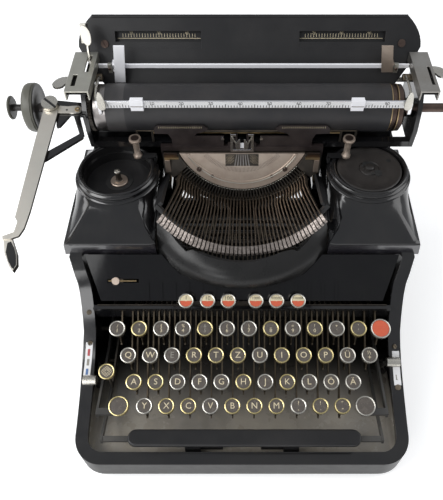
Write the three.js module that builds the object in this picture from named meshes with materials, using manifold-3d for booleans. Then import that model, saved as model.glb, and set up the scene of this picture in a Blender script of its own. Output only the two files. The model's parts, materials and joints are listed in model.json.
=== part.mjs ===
// A desk typewriter of the 1930s: open keyboard, ribbon cups, type basket and sliding carriage.
// Millimetres. X to the typist's right, Y away from the typist, Z up from the desk.
import * as THREE from "three";
import { mergeVertices } from "three/addons/utils/BufferGeometryUtils.js";
import Module from "manifold-3d";

const wasm = await Module();
wasm.setup();

// ---------------------------------------------------------------- driving dimensions
const fit = 0.3; // air between two pieces that seat on each other
const deg = Math.PI / 180;
const pitch = 19.05; // from one key to the next in a row

// base casting
const footHeight = 8;
const footRadius = 11;
const baseHalfWidth = 7.79 * pitch; // the frame holds the keyboard and a lever each side of it
const waistHalfWidth = baseHalfWidth - 4.2;
const shoulderHalfWidth = baseHalfWidth + 4.8;
const bearingX = baseHalfWidth - 13.5; // inner face of the bosses that carry the keyboard's shafts
const bearingOuter = baseHalfWidth - 3.4;
const shaftSeat = 1.1; // how far a shaft runs into its bosses
const panHalf = baseHalfWidth - 14;
const footX = baseHalfWidth - 17.4;
const frontY = -166;
const rearY = 150;
const frontRailTop = 34;
const deckZ = 129.7; // top of the side walls under the ribbon housings
const shoulderY = -12; // where the side rails reach the deck
const railWidth = 11;
const railDepth = 7;
const wall = 4;
const cornerRadius = 25;
const flangeWidth = 24;
const panTop = 22;
const panSheet = 1.8;

// ribbon housings
const barLength = 76; // a type bar from its wire to the printing point
const housingInnerX = barLength; // the basket's half width, which grows with its bars
const housingHalfWidth = housingInnerX + 81.7;
const housingFrontY = -7;
const housingRearY = 118;
const lipHeight = 10;
const collarZ = 156;
const collarRadius = 38.2;
const cupRimZ = 165.2;
const cupRimRadius = 34.4;
const cupRadius = 31.4;
const cupFloorZ = 148.5;
const leftCup = { x: -housingInnerX - 38.5, y: 63 };
const rightCup = { x: housingInnerX + 40.6, y: 65 };
const spindleRadius = 3.2;
const spoolRadius = 29.6;

// type basket: the printing point, the lean of the segment and the bars that swing in it
const printY = 88;
const printZ = 196;
const segmentLean = 20 * deg;
const barCount = 44;
const basketHalfAngle = 50 * deg;
const restAngle = 100 * deg;
const barThick = 1.3;
const slotWidth = barThick + 2 * fit;
const wireRadius = 1;
const ringInner = barLength - 10;
const ringOuter = barLength + 8;
const ringFront = -wireRadius - fit;
const ringBack = -12;
const slotFloor = -8;
const coverFront = -3.2;
const chordDrop = 30;
const segmentHalfWidth = housingInnerX - 3.2;
const basketShift = 6.5;
const guideRodX = segmentHalfWidth - 3.4;
const guideRodY = 76;
const guideRodRadius = 2;

// carriage
const platenY = 109;
const platenZ = 196;
const platenRadius = 21;
const capRadius = 20.4;
const shaftRadius = 4;
const plateLeft = -141; // outer face of the left end plate
const plateRight = 159;
const capLeft = plateLeft + 8.4;
const capRight = plateRight - 14.6;
const platenLeft = plateLeft + 20;
const platenRight = plateRight - 27;
const plateThick = 4;
const plateTop = platenZ + 22;
const plateFront = platenY - 19;
const railFrontY = 130;
const railBackY = 142;
const railTop = 172;
const bridgeTop = 152;
const bridgeFrontY = 121;
const crossRailZ = 166.8;
const crossRailHeight = 6;
const knobRadius = 21.5;
const knobWidth = 11;
const knobLeftX = plateLeft - 43;
const knobRightX = plateRight + 41.5;
const shaftInKnob = 3;
const buttonRadius = 10.5;
const buttonStem = 3;
const buttonTravel = 3;
const buttonReach = 16.5; // from the knob's outer face to the end of the button

// paper table, bail and guides
const tableFootZ = platenZ + 4;
const tableFootY = platenY + 26;
const tableRise = 50;
const tableSetBack = 33;
const tableSheet = 2;
const tableLeft = plateLeft - 7.7;
const tableRight = plateRight + 3.8;
const tableCorner = 14;
const windowWidth = 78;
const windowHeight = 14;
const windowX = [-76, 91];
const bailPivotY = platenY + 19;
const bailPivotZ = platenZ + 18;
const bailBarY = platenY - 20;
const bailBarZ = platenZ + 18.5;
const bailBarHeight = 7;
const bailLeft = plateLeft + 14;
const bailRight = plateRight - 13;
const guideBarY = platenY + 27;
const guideBarZ = plateTop + 4;
const guideBarHeight = 5.5;
const coverTop = plateTop + 10;
const coverSheet = 1.5;
const coverRear = platenY + 37.5;
const coverInner = [plateLeft + 11, plateRight - 7.6];

// keyboard
const capDepth = 5;
const keyRadius = 7.05;
const bigKeyRadius = 8.75;
const tabKeyRadius = 6.75;
const leverThick = 1.6;
const leverHeight = 6;
const rodRadius = 2.5;
const rodZ = 32;
const keySides = 8;
const combY = -45.6;
const combZ = 100;
const combHalfX = bearingX - 1.9;
const capTilt = 14 * deg; // the caps lean to the typist
const firstKeyX = -5.685 * pitch;
// x: how far the row's first key stands to the right of the number row's first key
const rows = {
  number: { y: -69, z: 101.6, x: firstKeyX, count: 12, rodY: 118 },
  top: { y: -88, z: 88.3, x: firstKeyX + pitch / 2, count: 12, rodY: 108 },
  home: { y: -107, z: 75, x: firstKeyX + 0.75 * pitch, count: 11, rodY: 98 },
  bottom: { y: -125, z: 65, x: firstKeyX + 1.25 * pitch, count: 10, rodY: 88 },
};
const backKeyX = 6.32 * pitch;
const soloRodY = 77; // shaft of the two keys that have a lever each of their own
const soloKeys = { g: 4, h: 5 };
const shiftKeyX = 5.606 * pitch;
const shiftArmX = bearingX - 6.9;
const shiftPivot = { y: 60, z: 52 };
const lockKey = { x: -6.163 * pitch, y: -100, z: 81 };
const lockPivot = { y: -40, z: 54 };
const backPivotY = 70;
const tabXs = [-2.56, -1.575, -0.63, 0.63, 1.575, 2.56].map((step) => step * pitch);
const tabY = -48.5;
const tabZ = 114;
const tabTravel = 4;
const tabStem = 1.2;
const spaceBar = { x0: -5.218 * pitch, x1: 5.444 * pitch, y: -147, top: 50, halfDepth: 7.5 };
const spaceArmX = bearingX - 11.4;
const spacePivot = { y: -60, z: 26.5 };
const smallPivotZ = 34;
const smallBladeX = bearingX - 3.5;
const smallKnobEnd = bearingX + 7.1;
const smallLevers = [
  { name: "ribbon_selector_lever", side: -1, knobY: -99, knobZ: 62, pivotY: -85 },
  { name: "touch_lever", side: 1, knobY: -84, knobZ: 68, pivotY: -70 },
];

// ---------------------------------------------------------------- materials
function finish(color, roughness, metalness) {
  return new THREE.MeshStandardMaterial({ color, roughness, metalness });
}
const enamel = finish(0x121213, 0.18, 0.0);
const panPaint = finish(0x3b3733, 0.35, 0.1);
const nickel = finish(0xb9b4a6, 0.3, 1.0);
const chrome = finish(0xdedfe2, 0.12, 1.0);
const bronze = finish(0x9a8468, 0.38, 1.0);
const brass = finish(0xb08d4f, 0.35, 1.0);
const steel = finish(0x6f6a62, 0.4, 1.0);
const rubber = finish(0x1a1a1b, 0.75, 0.0);
const bakelite = finish(0x33362f, 0.45, 0.0);
const keyFace = finish(0x2c2823, 0.4, 0.0);

// ---------------------------------------------------------------- solids
function welded(geometry) {
  const bare = new THREE.BufferGeometry();
  bare.setAttribute("position", geometry.getAttribute("position"));
  if (geometry.index) bare.setIndex(geometry.index);
  return mergeVertices(bare, 1e-4);
}

function volumeOf(geometry) {
  const at = geometry.getAttribute("position");
  const order = geometry.index.array;
  const [a, b, c] = [new THREE.Vector3(), new THREE.Vector3(), new THREE.Vector3()];
  let six = 0;
  for (let i = 0; i < order.length; i += 3) {
    a.fromBufferAttribute(at, order[i]);
    b.fromBufferAttribute(at, order[i + 1]);
    c.fromBufferAttribute(at, order[i + 2]);
    six += a.dot(b.cross(c));
  }
  return six;
}

function outward(geometry) {
  const body = welded(geometry);
  if (volumeOf(body) < 0) body.index.array.reverse();
  return body;
}

function toManifold(geometry) {
  const body = outward(geometry);
  return new wasm.Manifold(
    new wasm.Mesh({
      numProp: 3,
      vertProperties: new Float32Array(body.getAttribute("position").array),
      triVerts: new Uint32Array(body.index.array),
    }),
  );
}

function fromManifold(shape) {
  const mesh = shape.getMesh();
  const body = new THREE.BufferGeometry();
  body.setAttribute("position", new THREE.BufferAttribute(new Float32Array(mesh.vertProperties), 3));
  body.setIndex(new THREE.BufferAttribute(new Uint32Array(mesh.triVerts), 1));
  return body;
}

function join(...bodies) {
  return fromManifold(bodies.flat().map(toManifold).reduce((all, next) => all.add(next)));
}

function cut(body, ...tools) {
  const cutters = tools.flat().map(toManifold);
  return fromManifold(cutters.reduce((left, tool) => left.subtract(tool), toManifold(body)));
}

function common(body, ...others) {
  const limits = others.flat().map(toManifold);
  return fromManifold(limits.reduce((left, next) => left.intersect(next), toManifold(body)));
}

function block([x0, x1], [y0, y1], [z0, z1]) {
  const box = new THREE.BoxGeometry(x1 - x0, y1 - y0, z1 - z0);
  return box.translate((x0 + x1) / 2, (y0 + y1) / 2, (z0 + z1) / 2);
}

// The span from a to b on the right side, or its mirror image on the left.
function across(side, a, b) {
  return side > 0 ? [a, b] : [-b, -a];
}

function shapeOf(points) {
  return new THREE.Shape(points.map(([x, y]) => new THREE.Vector2(x, y)));
}

function plateZ(shape, z0, z1) {
  const body = new THREE.ExtrudeGeometry(shape, { depth: z1 - z0, bevelEnabled: false, curveSegments: 6 });
  return body.translate(0, 0, z0);
}

// A side view of [y, z] points, carried along X from x0 to x1.
function profileX(points, x0, x1) {
  const body = plateZ(shapeOf(points), x0, x1);
  const turn = new THREE.Matrix4().makeBasis(
    new THREE.Vector3(0, 1, 0),
    new THREE.Vector3(0, 0, 1),
    new THREE.Vector3(1, 0, 0),
  );
  return body.applyMatrix4(turn);
}

function rodX(radius, x0, x1, y, z, sides = 16) {
  const body = new THREE.CylinderGeometry(radius, radius, x1 - x0, sides);
  return body.rotateZ(Math.PI / 2).translate((x0 + x1) / 2, y, z);
}

function rodY(radius, y0, y1, x, z, sides = 24) {
  return new THREE.CylinderGeometry(radius, radius, y1 - y0, sides).translate(x, (y0 + y1) / 2, z);
}

function rodZ3(radius, z0, z1, x, y, sides = 24) {
  const body = new THREE.CylinderGeometry(radius, radius, z1 - z0, sides);
  return body.rotateX(Math.PI / 2).translate(x, y, (z0 + z1) / 2);
}

// A closed [radius, height] outline turned about the vertical line through x, y.
function turned(outline, x, y, sides) {
  const closed = [...outline, outline[0]].map(([r, h]) => new THREE.Vector2(r, h));
  return new THREE.LatheGeometry(closed, sides).rotateX(Math.PI / 2).translate(x, y, 0);
}

// An outline that starts and ends on the axis, turned about the vertical line through x, y.
function turnedSolid(outline, x, y, sides) {
  const points = outline.map(([r, h]) => new THREE.Vector2(r, h));
  return new THREE.LatheGeometry(points, sides).rotateX(Math.PI / 2).translate(x, y, 0);
}

function turnedX(outline, y, z, sides) {
  const points = outline.map(([r, h]) => new THREE.Vector2(r, h));
  return new THREE.LatheGeometry(points, sides).rotateZ(-Math.PI / 2).translate(0, y, z);
}

// A band of even height along a run of points.
function band(points, height) {
  const run = points.map(([a, b]) => new THREE.Vector2(a, b));
  const upper = [];
  const lower = [];
  run.forEach((p, i) => {
    const before = run[Math.max(i - 1, 0)];
    const after = run[Math.min(i + 1, run.length - 1)];
    const d1 = p.clone().sub(before).normalize();
    const d2 = after.clone().sub(p).normalize();
    const along = d1.add(d2).normalize();
    const edge = i === 0 ? d2 : p.clone().sub(before).normalize();
    const spread = height / 2 / Math.max(0.5, along.dot(edge));
    upper.push([p.x - along.y * spread, p.y + along.x * spread]);
    lower.unshift([p.x + along.y * spread, p.y - along.x * spread]);
  });
  return [...upper, ...lower];
}

// A skin through closed rings that all have the same number of points.
function loft(rings) {
  const n = rings[0].length;
  const at = rings.flat().flat();
  const order = [];
  for (let k = 0; k + 1 < rings.length; k++) {
    for (let i = 0; i < n; i++) {
      const j = (i + 1) % n;
      order.push(k * n + i, k * n + j, (k + 1) * n + j);
      order.push(k * n + i, (k + 1) * n + j, (k + 1) * n + i);
    }
  }
  const last = (rings.length - 1) * n;
  for (let i = 1; i + 1 < n; i++) {
    order.push(0, i + 1, i);
    order.push(last, last + i, last + i + 1);
  }
  const body = new THREE.BufferGeometry();
  body.setAttribute("position", new THREE.Float32BufferAttribute(at, 3));
  body.setIndex(order);
  return body;
}

const typewriter = new THREE.Group();
const base = new THREE.Group();
const carriage = new THREE.Group();
const basket = new THREE.Group();
const keyboard = new THREE.Group();
typewriter.add(base, carriage, basket, keyboard);

function piece(group, name, geometry, material) {
  const mesh = new THREE.Mesh(outward(geometry), material);
  mesh.name = name;
  group.add(mesh);
  return mesh;
}

// ---------------------------------------------------------------- base casting
// The side rails sweep up from the front rail in one S, as the height of the wall at each depth.
const sweep = new THREE.SplineCurve(
  [
    [frontY - 1, frontRailTop],
    [-148, 36],
    [-120, 44.5],
    [-80, 62],
    [-50, 88],
    [-30, 114],
    [shoulderY, deckZ],
  ].map(([y, z]) => new THREE.Vector2(y, z)),
);
const sweepPoints = sweep.getPoints(18).map((p) => [p.x, p.y]);

// The walls lean in to a waist half way up and flare out again under the housings.
function halfWidthAt(z) {
  const heights = [footHeight, frontRailTop, 78, 112, deckZ];
  const widths = [baseHalfWidth, baseHalfWidth, waistHalfWidth, waistHalfWidth + 1, shoulderHalfWidth];
  let k = 0;
  while (k + 2 < heights.length && z > heights[k + 1]) k++;
  const share = THREE.MathUtils.clamp((z - heights[k]) / (heights[k + 1] - heights[k]), 0, 1);
  return THREE.MathUtils.lerp(widths[k], widths[k + 1], share);
}

function flare(geometry) {
  const at = geometry.getAttribute("position");
  for (let i = 0; i < at.count; i++) {
    const x = at.getX(i);
    const grown = halfWidthAt(at.getZ(i)) - baseHalfWidth;
    if (Math.abs(x) > baseHalfWidth * 0.8) at.setX(i, x + Math.sign(x) * grown);
  }
  return geometry;
}

function planShape(inset) {
  const half = baseHalfWidth - inset;
  const y0 = frontY + inset;
  const y1 = rearY - inset;
  const r = Math.max(cornerRadius - inset, 2);
  const shape = new THREE.Shape();
  shape.moveTo(-half, y1);
  shape.lineTo(-half, y0 + r);
  shape.absarc(-half + r, y0 + r, r, Math.PI, 1.5 * Math.PI, false);
  shape.absarc(half - r, y0 + r, r, 1.5 * Math.PI, 2 * Math.PI, false);
  shape.lineTo(half, y1);
  return shape;
}

function underSweep(drop) {
  const low = footHeight - 1;
  const top = sweepPoints.map(([y, z]) => [y, z - drop]);
  return profileX([[frontY - 5, low], ...[[frontY - 5, frontRailTop - drop]], ...top,
    [rearY + 5, deckZ - drop], [rearY + 5, low]], -220, 220);
}

function baseFrame() {
  const casting = common(plateZ(planShape(0), footHeight, deckZ), underSweep(0));
  const middle = plateZ(planShape(railWidth), footHeight - 1, deckZ + 1);
  const underRail = common(plateZ(planShape(wall), footHeight + wall, deckZ), underSweep(railDepth));
  const walls = cut(casting, middle, underRail);
  const flange = cut(
    plateZ(planShape(wall / 2), footHeight, footHeight + wall),
    plateZ(planShape(flangeWidth), footHeight - 1, footHeight + wall + 1),
  );
  const shell = flare(join(walls, flange));
  const bosses = [
    [[-1, 1], [soloRodY - 13, rows.number.rodY + 8], [footHeight + 3, 41]],
    [[-1, 1], [shiftPivot.y - 6, shiftPivot.y + 6], [shiftPivot.z - 6, shiftPivot.z + 6]],
    [[-1, 1], [spacePivot.y - 6, spacePivot.y + 6], [footHeight + 3, spacePivot.z + 6]],
    [[-1], [lockPivot.y - 6, lockPivot.y + 6], [lockPivot.z - 6, lockPivot.z + 6]],
    ...smallLevers.map(({ side, pivotY }) =>
      [[side], [pivotY - 6, pivotY + 6], [smallPivotZ - 6, smallPivotZ + 6]]),
  ];
  const bearings = bosses.flatMap(([sides, y, z]) =>
    sides.map((side) => block(across(side, bearingX, bearingOuter), y, z)));
  const soloShaft = rodX(rodRadius, -bearingX - shaftSeat, bearingX + shaftSeat, soloRodY, rodZ, 12);
  const rearWindow = block([-70, 70], [rearY - 20, rearY + 5], [38, 112]);
  return cut(join(shell, bearings, soloShaft), rearWindow);
}
piece(base, "base_frame", baseFrame(), enamel);

const panFront = frontY + railWidth + 1.5;
const panRear = rearY - railWidth - 1.5;
piece(base, "floor_pan", cut(
  block([-panHalf, panHalf], [panFront, panRear], [footHeight + wall + fit, panTop]),
  block([-panHalf + panSheet, panHalf - panSheet], [panFront + panSheet, panRear - panSheet],
    [footHeight, panTop - panSheet]),
), panPaint);

const footInset = 17; // from the front and back of the frame to the middle of a foot
for (const [name, x, y] of [
  ["front_left_foot", -footX, frontY + footInset],
  ["front_right_foot", footX, frontY + footInset],
  ["rear_left_foot", -footX, rearY - footInset],
  ["rear_right_foot", footX, rearY - footInset],
]) {
  piece(base, name, turnedSolid([[0, 0], [footRadius - 2, 0], [footRadius, 2],
    [footRadius - 1, footHeight - fit], [0, footHeight - fit]], x, y, 20), rubber);
}

// ---------------------------------------------------------------- ribbon housings
function ringPoints(shapeAt, z, angles) {
  return angles.map((angle) => [...shapeAt(angle), z]);
}

// Even angles about a centre, with those that look at the corners of a rectangle put in.
function anglesWithCorners(cx, cy, x0, x1, y0, y1, count) {
  const whole = 2 * Math.PI;
  const corners = [[x0, y0], [x1, y0], [x1, y1], [x0, y1]]
    .map(([x, y]) => (Math.atan2(y - cy, x - cx) + whole) % whole);
  const even = Array.from({ length: count }, (_, i) => (i / count) * whole)
    .filter((angle) => corners.every((corner) => Math.abs(angle - corner) > whole / count / 3));
  return [...corners, ...even].sort((a, b) => a - b);
}

// A rectangle walked by angle from a centre inside it, so that its points pair with a circle's.
function rectangleFrom(cx, cy, x0, x1, y0, y1) {
  return (angle) => {
    const dx = Math.cos(angle);
    const dy = Math.sin(angle);
    const reachX = dx > 0 ? (x1 - cx) / dx : (x0 - cx) / dx;
    const reachY = dy > 0 ? (y1 - cy) / dy : (y0 - cy) / dy;
    const reach = Math.min(Math.abs(reachX), Math.abs(reachY));
    return [cx + dx * reach, cy + dy * reach];
  };
}

function circleAbout(cx, cy, r) {
  return (angle) => [cx + r * Math.cos(angle), cy + r * Math.sin(angle)];
}

function housing(cup, side, open) {
  const inner = side * housingInnerX;
  const outer = side * housingHalfWidth;
  const x0 = Math.min(inner, outer);
  const x1 = Math.max(inner, outer);
  const low = deckZ + fit;
  const lipTop = low + lipHeight;
  const sheet = 2.6;
  const outerAngles = anglesWithCorners(cup.x, cup.y, x0, x1, housingFrontY, housingRearY, 24);
  const foot = rectangleFrom(cup.x, cup.y, x0, x1, housingFrontY, housingRearY);
  const skin = loft([
    ringPoints(foot, low, outerAngles),
    ringPoints(foot, lipTop, outerAngles),
    ringPoints(circleAbout(cup.x, cup.y, collarRadius), collarZ, outerAngles),
  ]);
  const inner4 = [x0 + sheet, x1 - sheet, housingFrontY + sheet, housingRearY - sheet];
  const innerAngles = anglesWithCorners(cup.x, cup.y, ...inner4, 24);
  const room = rectangleFrom(cup.x, cup.y, ...inner4);
  const inside = loft([
    ringPoints(room, low - 1, innerAngles),
    ringPoints(room, lipTop - 1.5, innerAngles),
    ringPoints(circleAbout(cup.x, cup.y, cupRimRadius - 2), cupFloorZ - sheet, innerAngles),
  ]);
  const collar = turned([
    [cupRadius - 1, collarZ - 3], [collarRadius - 0.4, collarZ - 3], [collarRadius, collarZ + 1],
    [collarRadius - 1.4, collarZ + 3], [cupRimRadius, collarZ + 4], [cupRimRadius, cupRimZ],
    [cupRadius - 1, cupRimZ],
  ], cup.x, cup.y, 28);
  const well = rodZ3(cupRadius, cupFloorZ, cupRimZ + 5, cup.x, cup.y, 28);
  const bore = rodZ3(spindleRadius + fit, cupFloorZ - 10, cupFloorZ + 5, cup.x, cup.y, 12);
  return cut(join(cut(skin, inside), collar), well, bore);
}
piece(base, "left_spool_housing", housing(leftCup, -1), enamel);
piece(base, "right_spool_housing", housing(rightCup, 1), enamel);

const washerZ = cupFloorZ + fit;
piece(base, "left_spool_spindle", turnedSolid([
  [0, cupFloorZ - 8], [spindleRadius, cupFloorZ - 8], [spindleRadius, washerZ], [8, washerZ],
  [8, washerZ + 1.6], [3, washerZ + 2.4], [2.4, cupRimZ - 5], [1.6, cupRimZ - 3], [0, cupRimZ - 3],
], leftCup.x, leftCup.y, 14), steel);

const spoolHoles = Array.from({ length: 6 }, (_, i) => {
  const angle = (i + 0.5) * 60 * deg;
  return rodZ3(2.6, washerZ - 1, cupRimZ + 5, rightCup.x + 19 * Math.cos(angle),
    rightCup.y + 19 * Math.sin(angle), 6);
});
piece(base, "right_ribbon_spool", cut(turnedSolid([
  [0, cupFloorZ - 8], [spindleRadius, cupFloorZ - 8], [spindleRadius, washerZ], [spoolRadius, washerZ],
  [spoolRadius, washerZ + 1.4], [spoolRadius - 4, washerZ + 2], [spoolRadius - 4, cupRimZ - 4],
  [spoolRadius, cupRimZ - 3.4], [spoolRadius, cupRimZ - 2], [4, cupRimZ - 2], [4, cupRimZ + 0.4],
  [0, cupRimZ + 0.4],
], rightCup.x, rightCup.y, 24), spoolHoles), rubber);

// ---------------------------------------------------------------- rear bridge and carriage rail
const bridgeHalf = shoulderHalfWidth - 3.7;
const bridgeSeat = 9.5; // how much of the bridge rests on each side wall
const armX = [segmentHalfWidth - 5.2, segmentHalfWidth + 2.5];
const armTop = 137.5;
function rearBridge() {
  const room = bridgeHalf - bridgeSeat;
  const beam = cut(
    block([-bridgeHalf, bridgeHalf], [bridgeFrontY, rearY], [deckZ + fit, bridgeTop]),
    block([-room, room], [bridgeFrontY + wall, rearY - wall], [deckZ - 1, bridgeTop - wall]),
  );
  const rail = profileX([
    [railFrontY, bridgeTop - 1], [railFrontY, railTop - 7], [railFrontY + 2, railTop - 5],
    [railFrontY, railTop - 3], [railFrontY, railTop], [railBackY, railTop], [railBackY, railTop - 3],
    [railBackY - 2, railTop - 5], [railBackY, railTop - 7], [railBackY, bridgeTop - 1],
  ], -bridgeHalf, bridgeHalf);
  const arms = [-1, 1].map((side) =>
    block(across(side, ...armX), [71, bridgeFrontY + 1], [deckZ + fit, armTop]));
  return join(beam, rail, arms);
}
piece(base, "rear_bridge", rearBridge(), enamel);

const drumX = -92;
const drumZ = 100;
const drumRadius = 30;
piece(base, "mainspring_drum", rodY(drumRadius, rearY + fit, rearY + 16, drumX, drumZ, 36), steel);

// ---------------------------------------------------------------- shield in front of the type basket
// The segment's own frame: X across, Y up along its lean, Z out of its face, from the printing point.
const basketFrame = new THREE.Matrix4().makeRotationX(Math.PI / 2 - segmentLean)
  .setPosition(0, printY, printZ);
const headReach = barLength + 19; // how far the resting heads stand from the printing point, along the segment
const shieldCentreY = 62;
const shieldInner = ringOuter;
const shieldOuter = shieldInner + 17;
const shieldTop = 137.5;
const shieldLow = 119;
function shield() {
  const turnedBand = turned([
    [shieldInner, shieldTop - 5], [shieldInner, shieldTop], [shieldInner + 3, shieldTop + 1],
    [shieldInner + 9, shieldTop - 1.5], [shieldInner + 14, shieldTop - 6], [shieldOuter, shieldTop - 11.5],
    [shieldOuter, shieldLow], [shieldOuter - 2, shieldLow], [shieldOuter - 2, shieldTop - 12.5],
    [shieldInner + 12.5, shieldTop - 7.7], [shieldInner + 8, shieldTop - 3.7],
    [shieldInner + 3, shieldTop - 1.5], [shieldInner + 2, shieldTop - 5],
  ], 0, shieldCentreY, 56);
  const half = housingInnerX - 0.5;
  const reach = shieldCentreY - Math.sqrt(shieldInner ** 2 - half ** 2);
  const front = common(turnedBand, block([-half, half], [-60, reach], [100, 160]));
  const at = front.getAttribute("position");
  for (let i = 0; i < at.count; i++) {
    const x = at.getX(i);
    const r = Math.hypot(x, at.getY(i) - shieldCentreY);
    at.setZ(i, at.getZ(i) + 12 * (x / half) ** 2 * THREE.MathUtils.clamp((shieldOuter - r) / 17, 0, 1));
  }
  // room for the heads of the resting bars when the basket drops
  const headSweep = rodZ3(headReach, 40, barLength + 3, 0, 0, 48).applyMatrix4(basketFrame)
    .translate(0, 0, -basketShift);
  return cut(front, headSweep);
}
piece(base, "basket_shield", shield(), enamel);

// ---------------------------------------------------------------- front plate, comb and ribbon switch
const plateLow = { y: -40, z: 102 };
const plateHigh = { y: -9, z: 129.4 };
const slope = new THREE.Vector3(0, plateHigh.y - plateLow.y, plateHigh.z - plateLow.z);
const slopeLength = slope.length();
slope.normalize();
const slopeOut = new THREE.Vector3(1, 0, 0).cross(slope);
const plateFrame = new THREE.Matrix4()
  .makeBasis(new THREE.Vector3(1, 0, 0), slope, slopeOut)
  .setPosition(0, plateLow.y, plateLow.z);
const switchX = [-120, -92];
const switchRise = 18;
function frontPlate() {
  const [low, high] = [baseHalfWidth - 22.4, baseHalfWidth - 8.9];
  const outline = shapeOf([[-low, 0], [low, 0], [high, slopeLength], [-high, slopeLength]]);
  const slot = block(switchX, [switchRise - 1.7, switchRise + 1.7], [-5, 5]);
  const ribs = [];
  for (let x = -84; x <= 84; x += 12) {
    if (Math.abs(x) > 6) ribs.push(block([x - 1.2, x + 1.2], [1, 17], [1, 2.6]));
  }
  const sheet = cut(join(plateZ(outline, 0, 1.6), ribs), slot).applyMatrix4(plateFrame);
  return cut(sheet, rodZ3(shieldOuter + fit, shieldLow - fit, shieldTop + 9, 0, shieldCentreY, 64));
}
piece(base, "front_plate", frontPlate(), enamel);

const switchPlace = -112;
piece(base, "ribbon_switch_knob", join(
  block([switchPlace - 3, switchPlace + 3], [switchRise - 1.4, switchRise + 1.4], [-2, 3]),
  block([switchPlace - 5, switchPlace + 5], [switchRise - 3, switchRise + 3], [-3.5, -1.9 + fit]),
  rodZ3(3.4, 2, 5, switchPlace, switchRise, 14),
).applyMatrix4(plateFrame), nickel);

const leverXs = [backKeyX];
for (const row of Object.values(rows)) {
  for (let i = 0; i < row.count; i++) leverXs.push(row.x + i * pitch);
}
function keyComb() {
  const bar = block([-combHalfX, combHalfX], [combY - 2, combY + 2], [combZ - 3, combZ]);
  const plate = block([-combHalfX, combHalfX], [combY, combY + 2], [combZ - 16, combZ - 2]);
  const slots = leverXs.map((x) =>
    block([x - leverThick / 2 - fit, x + leverThick / 2 + fit], [combY - 5, combY + 5], [60, combZ - 5]));
  const holes = tabXs.map((x) => rodZ3(tabStem + fit, combZ - tabTravel - 3, combZ + 2, x, combY, 8));
  return cut(join(bar, plate), slots, holes);
}
piece(base, "key_comb", keyComb(), enamel);

// ---------------------------------------------------------------- type basket
const swing = basketHalfAngle * 2 / (barCount - 1);
const barAngles = Array.from({ length: barCount }, (_, i) => -basketHalfAngle + i * swing);

function arcPoint(radius, angle) {
  return [radius * Math.sin(angle), -radius * Math.cos(angle)];
}

function fanShape(radius) {
  const edge = Math.acos(Math.min(1, chordDrop / radius));
  const widest = Math.asin(Math.min(1, segmentHalfWidth / radius));
  const last = Math.min(edge, widest);
  const points = [];
  for (let k = 0; k <= 32; k++) points.push(arcPoint(radius, -last + (2 * last * k) / 32));
  if (widest < edge) {
    points.push([segmentHalfWidth, -chordDrop]);
    points.push([-segmentHalfWidth, -chordDrop]);
  }
  return shapeOf(points);
}

function radial(width, r0, r1, n0, n1, angle) {
  return block([-width / 2, width / 2], [-r1, -r0], [n0, n1]).rotateZ(angle);
}

function segment() {
  const back = plateZ(fanShape(ringOuter), ringBack, slotFloor);
  const ring = cut(plateZ(fanShape(ringOuter), slotFloor - 0.5, ringFront),
    plateZ(fanShape(ringInner), slotFloor, ringFront + 1));
  const slots = barAngles.map((angle) =>
    radial(slotWidth, ringInner - 0.2, ringOuter + 2, slotFloor, ringFront + 1, angle));
  const ears = [-1, 1].map((side) => block(across(side, segmentHalfWidth - 8.8, segmentHalfWidth),
    [-chordDrop - 18, -chordDrop], [slotFloor, ringFront]));
  const body = cut(join(back, ring, ears), slots).applyMatrix4(basketFrame);
  const holes = [-1, 1].map((side) =>
    rodZ3(guideRodRadius + fit, 100, 200, side * guideRodX, guideRodY, 16));
  return cut(body, holes);
}
piece(basket, "segment", segment(), steel);

function segmentCover() {
  const radius = ringInner - fit;
  const half = radius * Math.sin(Math.acos(chordDrop / radius)) - 1;
  const face = plateZ(fanShape(radius), slotFloor + fit, coverFront);
  const ridge = cut(
    rodZ3(radius - 5.7, coverFront - 1, coverFront + 0.8, 0, 0, 56),
    rodZ3(radius - 8.2, -10, 5, 0, 0, 56),
  );
  const keep = block([-half, half], [-radius, -chordDrop], [-20, 20]);
  return join(face, common(ridge, keep)).applyMatrix4(basketFrame);
}
piece(basket, "segment_cover", segmentCover(), bronze);

// One bar, drawn in its striking place: u runs from its wire to the printing point, v to the front.
const armEnd = barLength - 5.4;
const barArm = [[-5, -2.4], [armEnd, -1.1], [armEnd, 1.1], [-5, 2.4]];
const barHead = [[armEnd - 0.6, -1.1], [barLength + 1.4, 1.3], [barLength + 1.9, 4.4], [armEnd - 0.6, 4.4]];
const headThick = 2.6;
function typebar(angle, turn) {
  const swung = (points, thick) => {
    const body = plateZ(shapeOf(points), -thick / 2, thick / 2);
    // u points up the lean and v out of the face, with the thickness across
    body.applyMatrix4(new THREE.Matrix4().makeBasis(
      new THREE.Vector3(0, 1, 0), new THREE.Vector3(0, 0, 1), new THREE.Vector3(1, 0, 0)));
    return body.rotateX(turn).translate(0, -barLength, 0).rotateZ(angle);
  };
  return [swung(barArm, barThick), swung(barHead, headThick)];
}

const soloAngles = { g: barAngles[21], h: barAngles[22] };
function typeBars() {
  const wire = [];
  const steps = 22;
  const half = basketHalfAngle + 1.2 * deg;
  for (let k = 0; k <= steps; k++) wire.push(arcPoint(barLength, -half + (2 * half * k) / steps));
  const wireShape = shapeOf(band(wire, 2 * wireRadius));
  const bars = barAngles.filter((a) => a !== soloAngles.g && a !== soloAngles.h)
    .flatMap((angle) => typebar(angle, restAngle));
  return join(plateZ(wireShape, -wireRadius, wireRadius), bars).applyMatrix4(basketFrame);
}

piece(basket, "type_bars", typeBars(), steel);

for (const [letter, angle] of Object.entries(soloAngles)) {
  const eye = rodX(wireRadius + 2 * fit, -5, 5, 0, 0, 14).translate(0, -barLength, 0).rotateZ(angle);
  piece(basket, `typebar_${letter}`,
    cut(join(typebar(angle, restAngle)), eye).applyMatrix4(basketFrame), steel);
}

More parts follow.
